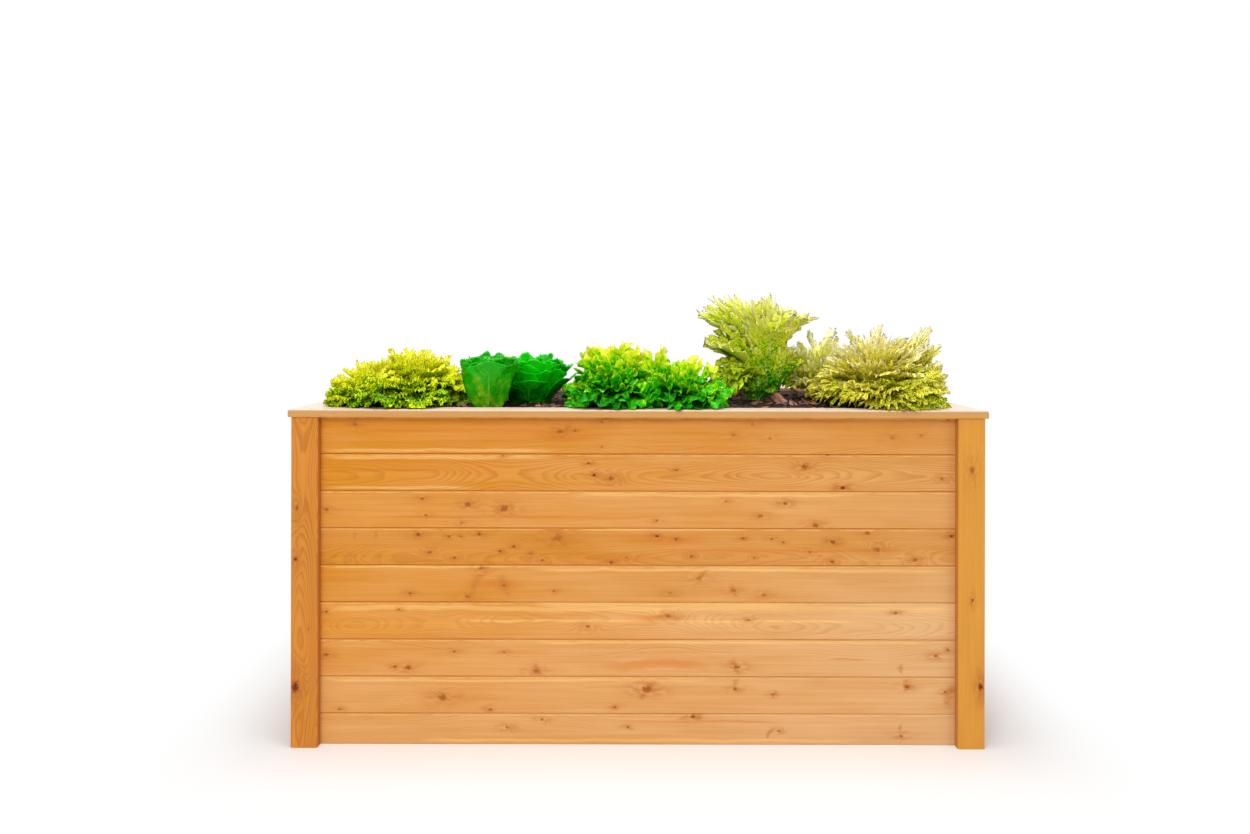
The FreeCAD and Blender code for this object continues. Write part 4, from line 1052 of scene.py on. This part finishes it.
# Yellow lettuce: a broad feathery head of many finely cut leaves, olive inside and straw yellow
# outside, a side shoot that leans over the end of the bed, and a taller, paler head behind, whose
# pale colour is partly painted light on a head that stands in the shade of the others.
FEATHERY = dict(ruffle=0.0062, waves=33, lobes=0.20, lobe_count=17, foot=0.22, blunt=0.55)
yellow_leaf = leaf_material(
    "yellow_leaf",
    [(70, 112, 2), (170, 186, 8), (248, 228, 34), (254, 242, 90), (255, 246, 166), (254, 246, 228)],
    (244, 230, 180), weights=(0.64, 0.28, 1.50, 0.35), speckle=250.0, veins=0.08)
# Painted light: this ramp is brighter than the head's own colour, to light a head in the shade of the
# others.
straw_lit_leaf = leaf_material(
    "straw_lit_leaf",
    [(226, 226, 20), (254, 248, 60), (254, 252, 110), (254, 252, 160), (254, 252, 200), (254, 252, 230)],
    (244, 236, 190), weights=(0.72, 0.22, 0.80, 0.35), speckle=150.0, veins=0.08)
leafy_piece("yellow_lettuce_leaves", "yellow_lettuce", [
    rosette((0.692, -0.186, STEM_FOOT), 0.174, 0.230, 70, 61, width=0.104, spread=(3, 82), curl=58,
            **FEATHERY),
], yellow_leaf)
leafy_piece("yellow_fringe_leaves", "yellow_lettuce", [
    rosette((0.690, -0.262, FRINGE_FOOT), 0.186, 0.110, 18, 64, width=0.084, spread=(58, 90),
            curl=44, turns=(-136, -52), full=0.400, **FEATHERY),
], yellow_leaf)
leafy_piece("yellow_shoot_leaves", "yellow_lettuce", [
    rosette((0.792, -0.165, STEM_FOOT), 0.100, 0.234, 44, 63, width=0.086, spread=(3, 64), curl=50,
            lean=(0.036, 0), **FEATHERY),
], yellow_leaf)
leafy_piece("yellow_side_leaves", "yellow_lettuce", [
    rosette((0.574, 0.030, STEM_FOOT), 0.118, 0.220, 50, 62, width=0.104, spread=(3, 66), curl=56,
            lean=(0.030, 0), **FEATHERY),
], straw_lit_leaf)


# Studio ---------------------------------------------------------------------------------------------
# A pale floor that turns to plain white away from the bed, a big soft light high on the left of the
# camera, a weaker one on the right and a third overhead.

PHOTO_SIZE = (1250, 834)
HORIZON = 330.2  # pixels from the top
FOCAL_PIXELS = 803
SENSOR = 36.0
CAMERA_PLACE = (-0.035, -2.530, 1.084)
CAMERA_ROLL = -0.13  # degrees
WORLD_LIGHT = 0.46
WHITE_RAYS = ("Is Camera Ray", "Is Glossy Ray", "Is Transmission Ray")
FLOOR_HALF = 20.0
BED_HALF = (0.90, 0.45)
LAMPS = {
    "key": ((-1.4, -4.4, 3.2), (0, 0, 0.7), 2.8, 97),
    "side": ((3.6, -2.6, 2.6), (0, 0, 0.6), 2.0, 31),
    "top": ((-0.2, -0.5, 4.0), (0, 0, 0.8), 2.4, 80),
}


def white_where(graph):
    """1 for the rays to which the studio is plain white, else 0."""
    path = graph.tree.nodes.new("ShaderNodeLightPath")
    share = 0.0
    for ray in WHITE_RAYS:
        share = graph.math("MAXIMUM", share, path.outputs[ray])
    return share


corners = FLOOR_HALF * np.array([(-1, -1, 0), (1, -1, 0), (1, 1, 0), (-1, 1, 0)])
floor = make_mesh("floor", corners, [(0, 1, 2, 3)], smooth=False)
g = Graph("floor")
beside, before = (
    g.math("MAXIMUM", g.math("SUBTRACT", g.math("ABSOLUTE", part), half), 0.0)
    for part, half in zip(g.place(), BED_HALF)
)
away = g.math("SQRT", g.add(g.times(beside, beside), g.times(before, before)))
white = g.node("Emission", {"Color": (1, 1, 1, 1), "Strength": 1.0})
g.surface(Base_Color=(0.90, 0.90, 0.90, 1), Roughness=0.9, Specular_IOR_Level=0.1)
seen_white = g.times(g.smooth(away, -0.02, 0.40), white_where(g))
blend = g.node("MixShader", {0: seen_white, 1: g.shader.outputs[0], 2: white})
g.feed(g.tree.nodes["Material Output"].inputs["Surface"], blend)
floor.data.materials.append(g.material)

world = bpy.data.worlds.new("studio")
world.use_nodes = True
bpy.context.scene.world = world
g = Graph("studio", world.node_tree)
background = g.tree.nodes["Background"]
background.inputs["Color"].default_value = (1, 1, 1, 1)
strength = g.add(WORLD_LIGHT, g.times(white_where(g), 1.0 - WORLD_LIGHT))
g.feed(background.inputs["Strength"], strength)

for name, (place, target, size, power) in LAMPS.items():
    light = bpy.data.lights.new(name, "AREA")
    light.shape = "DISK"
    light.size = size
    light.energy = power
    lamp = add_object(name, light)
    lamp.location = place
    lamp.rotation_euler = (Vector(target) - Vector(place)).to_track_quat("-Z", "Y").to_euler()

camera = bpy.data.cameras.new("camera")
camera.sensor_width = SENSOR
camera.lens = FOCAL_PIXELS / PHOTO_SIZE[0] * SENSOR
camera.shift_y = -(PHOTO_SIZE[1] / 2 - HORIZON) / PHOTO_SIZE[0]
viewer = add_object("camera", camera)
viewer.location = CAMERA_PLACE
viewer.rotation_euler = (math.radians(90), math.radians(CAMERA_ROLL), 0)
bpy.context.scene.camera = viewer
bpy.context.scene.view_settings.view_transform = "Standard"
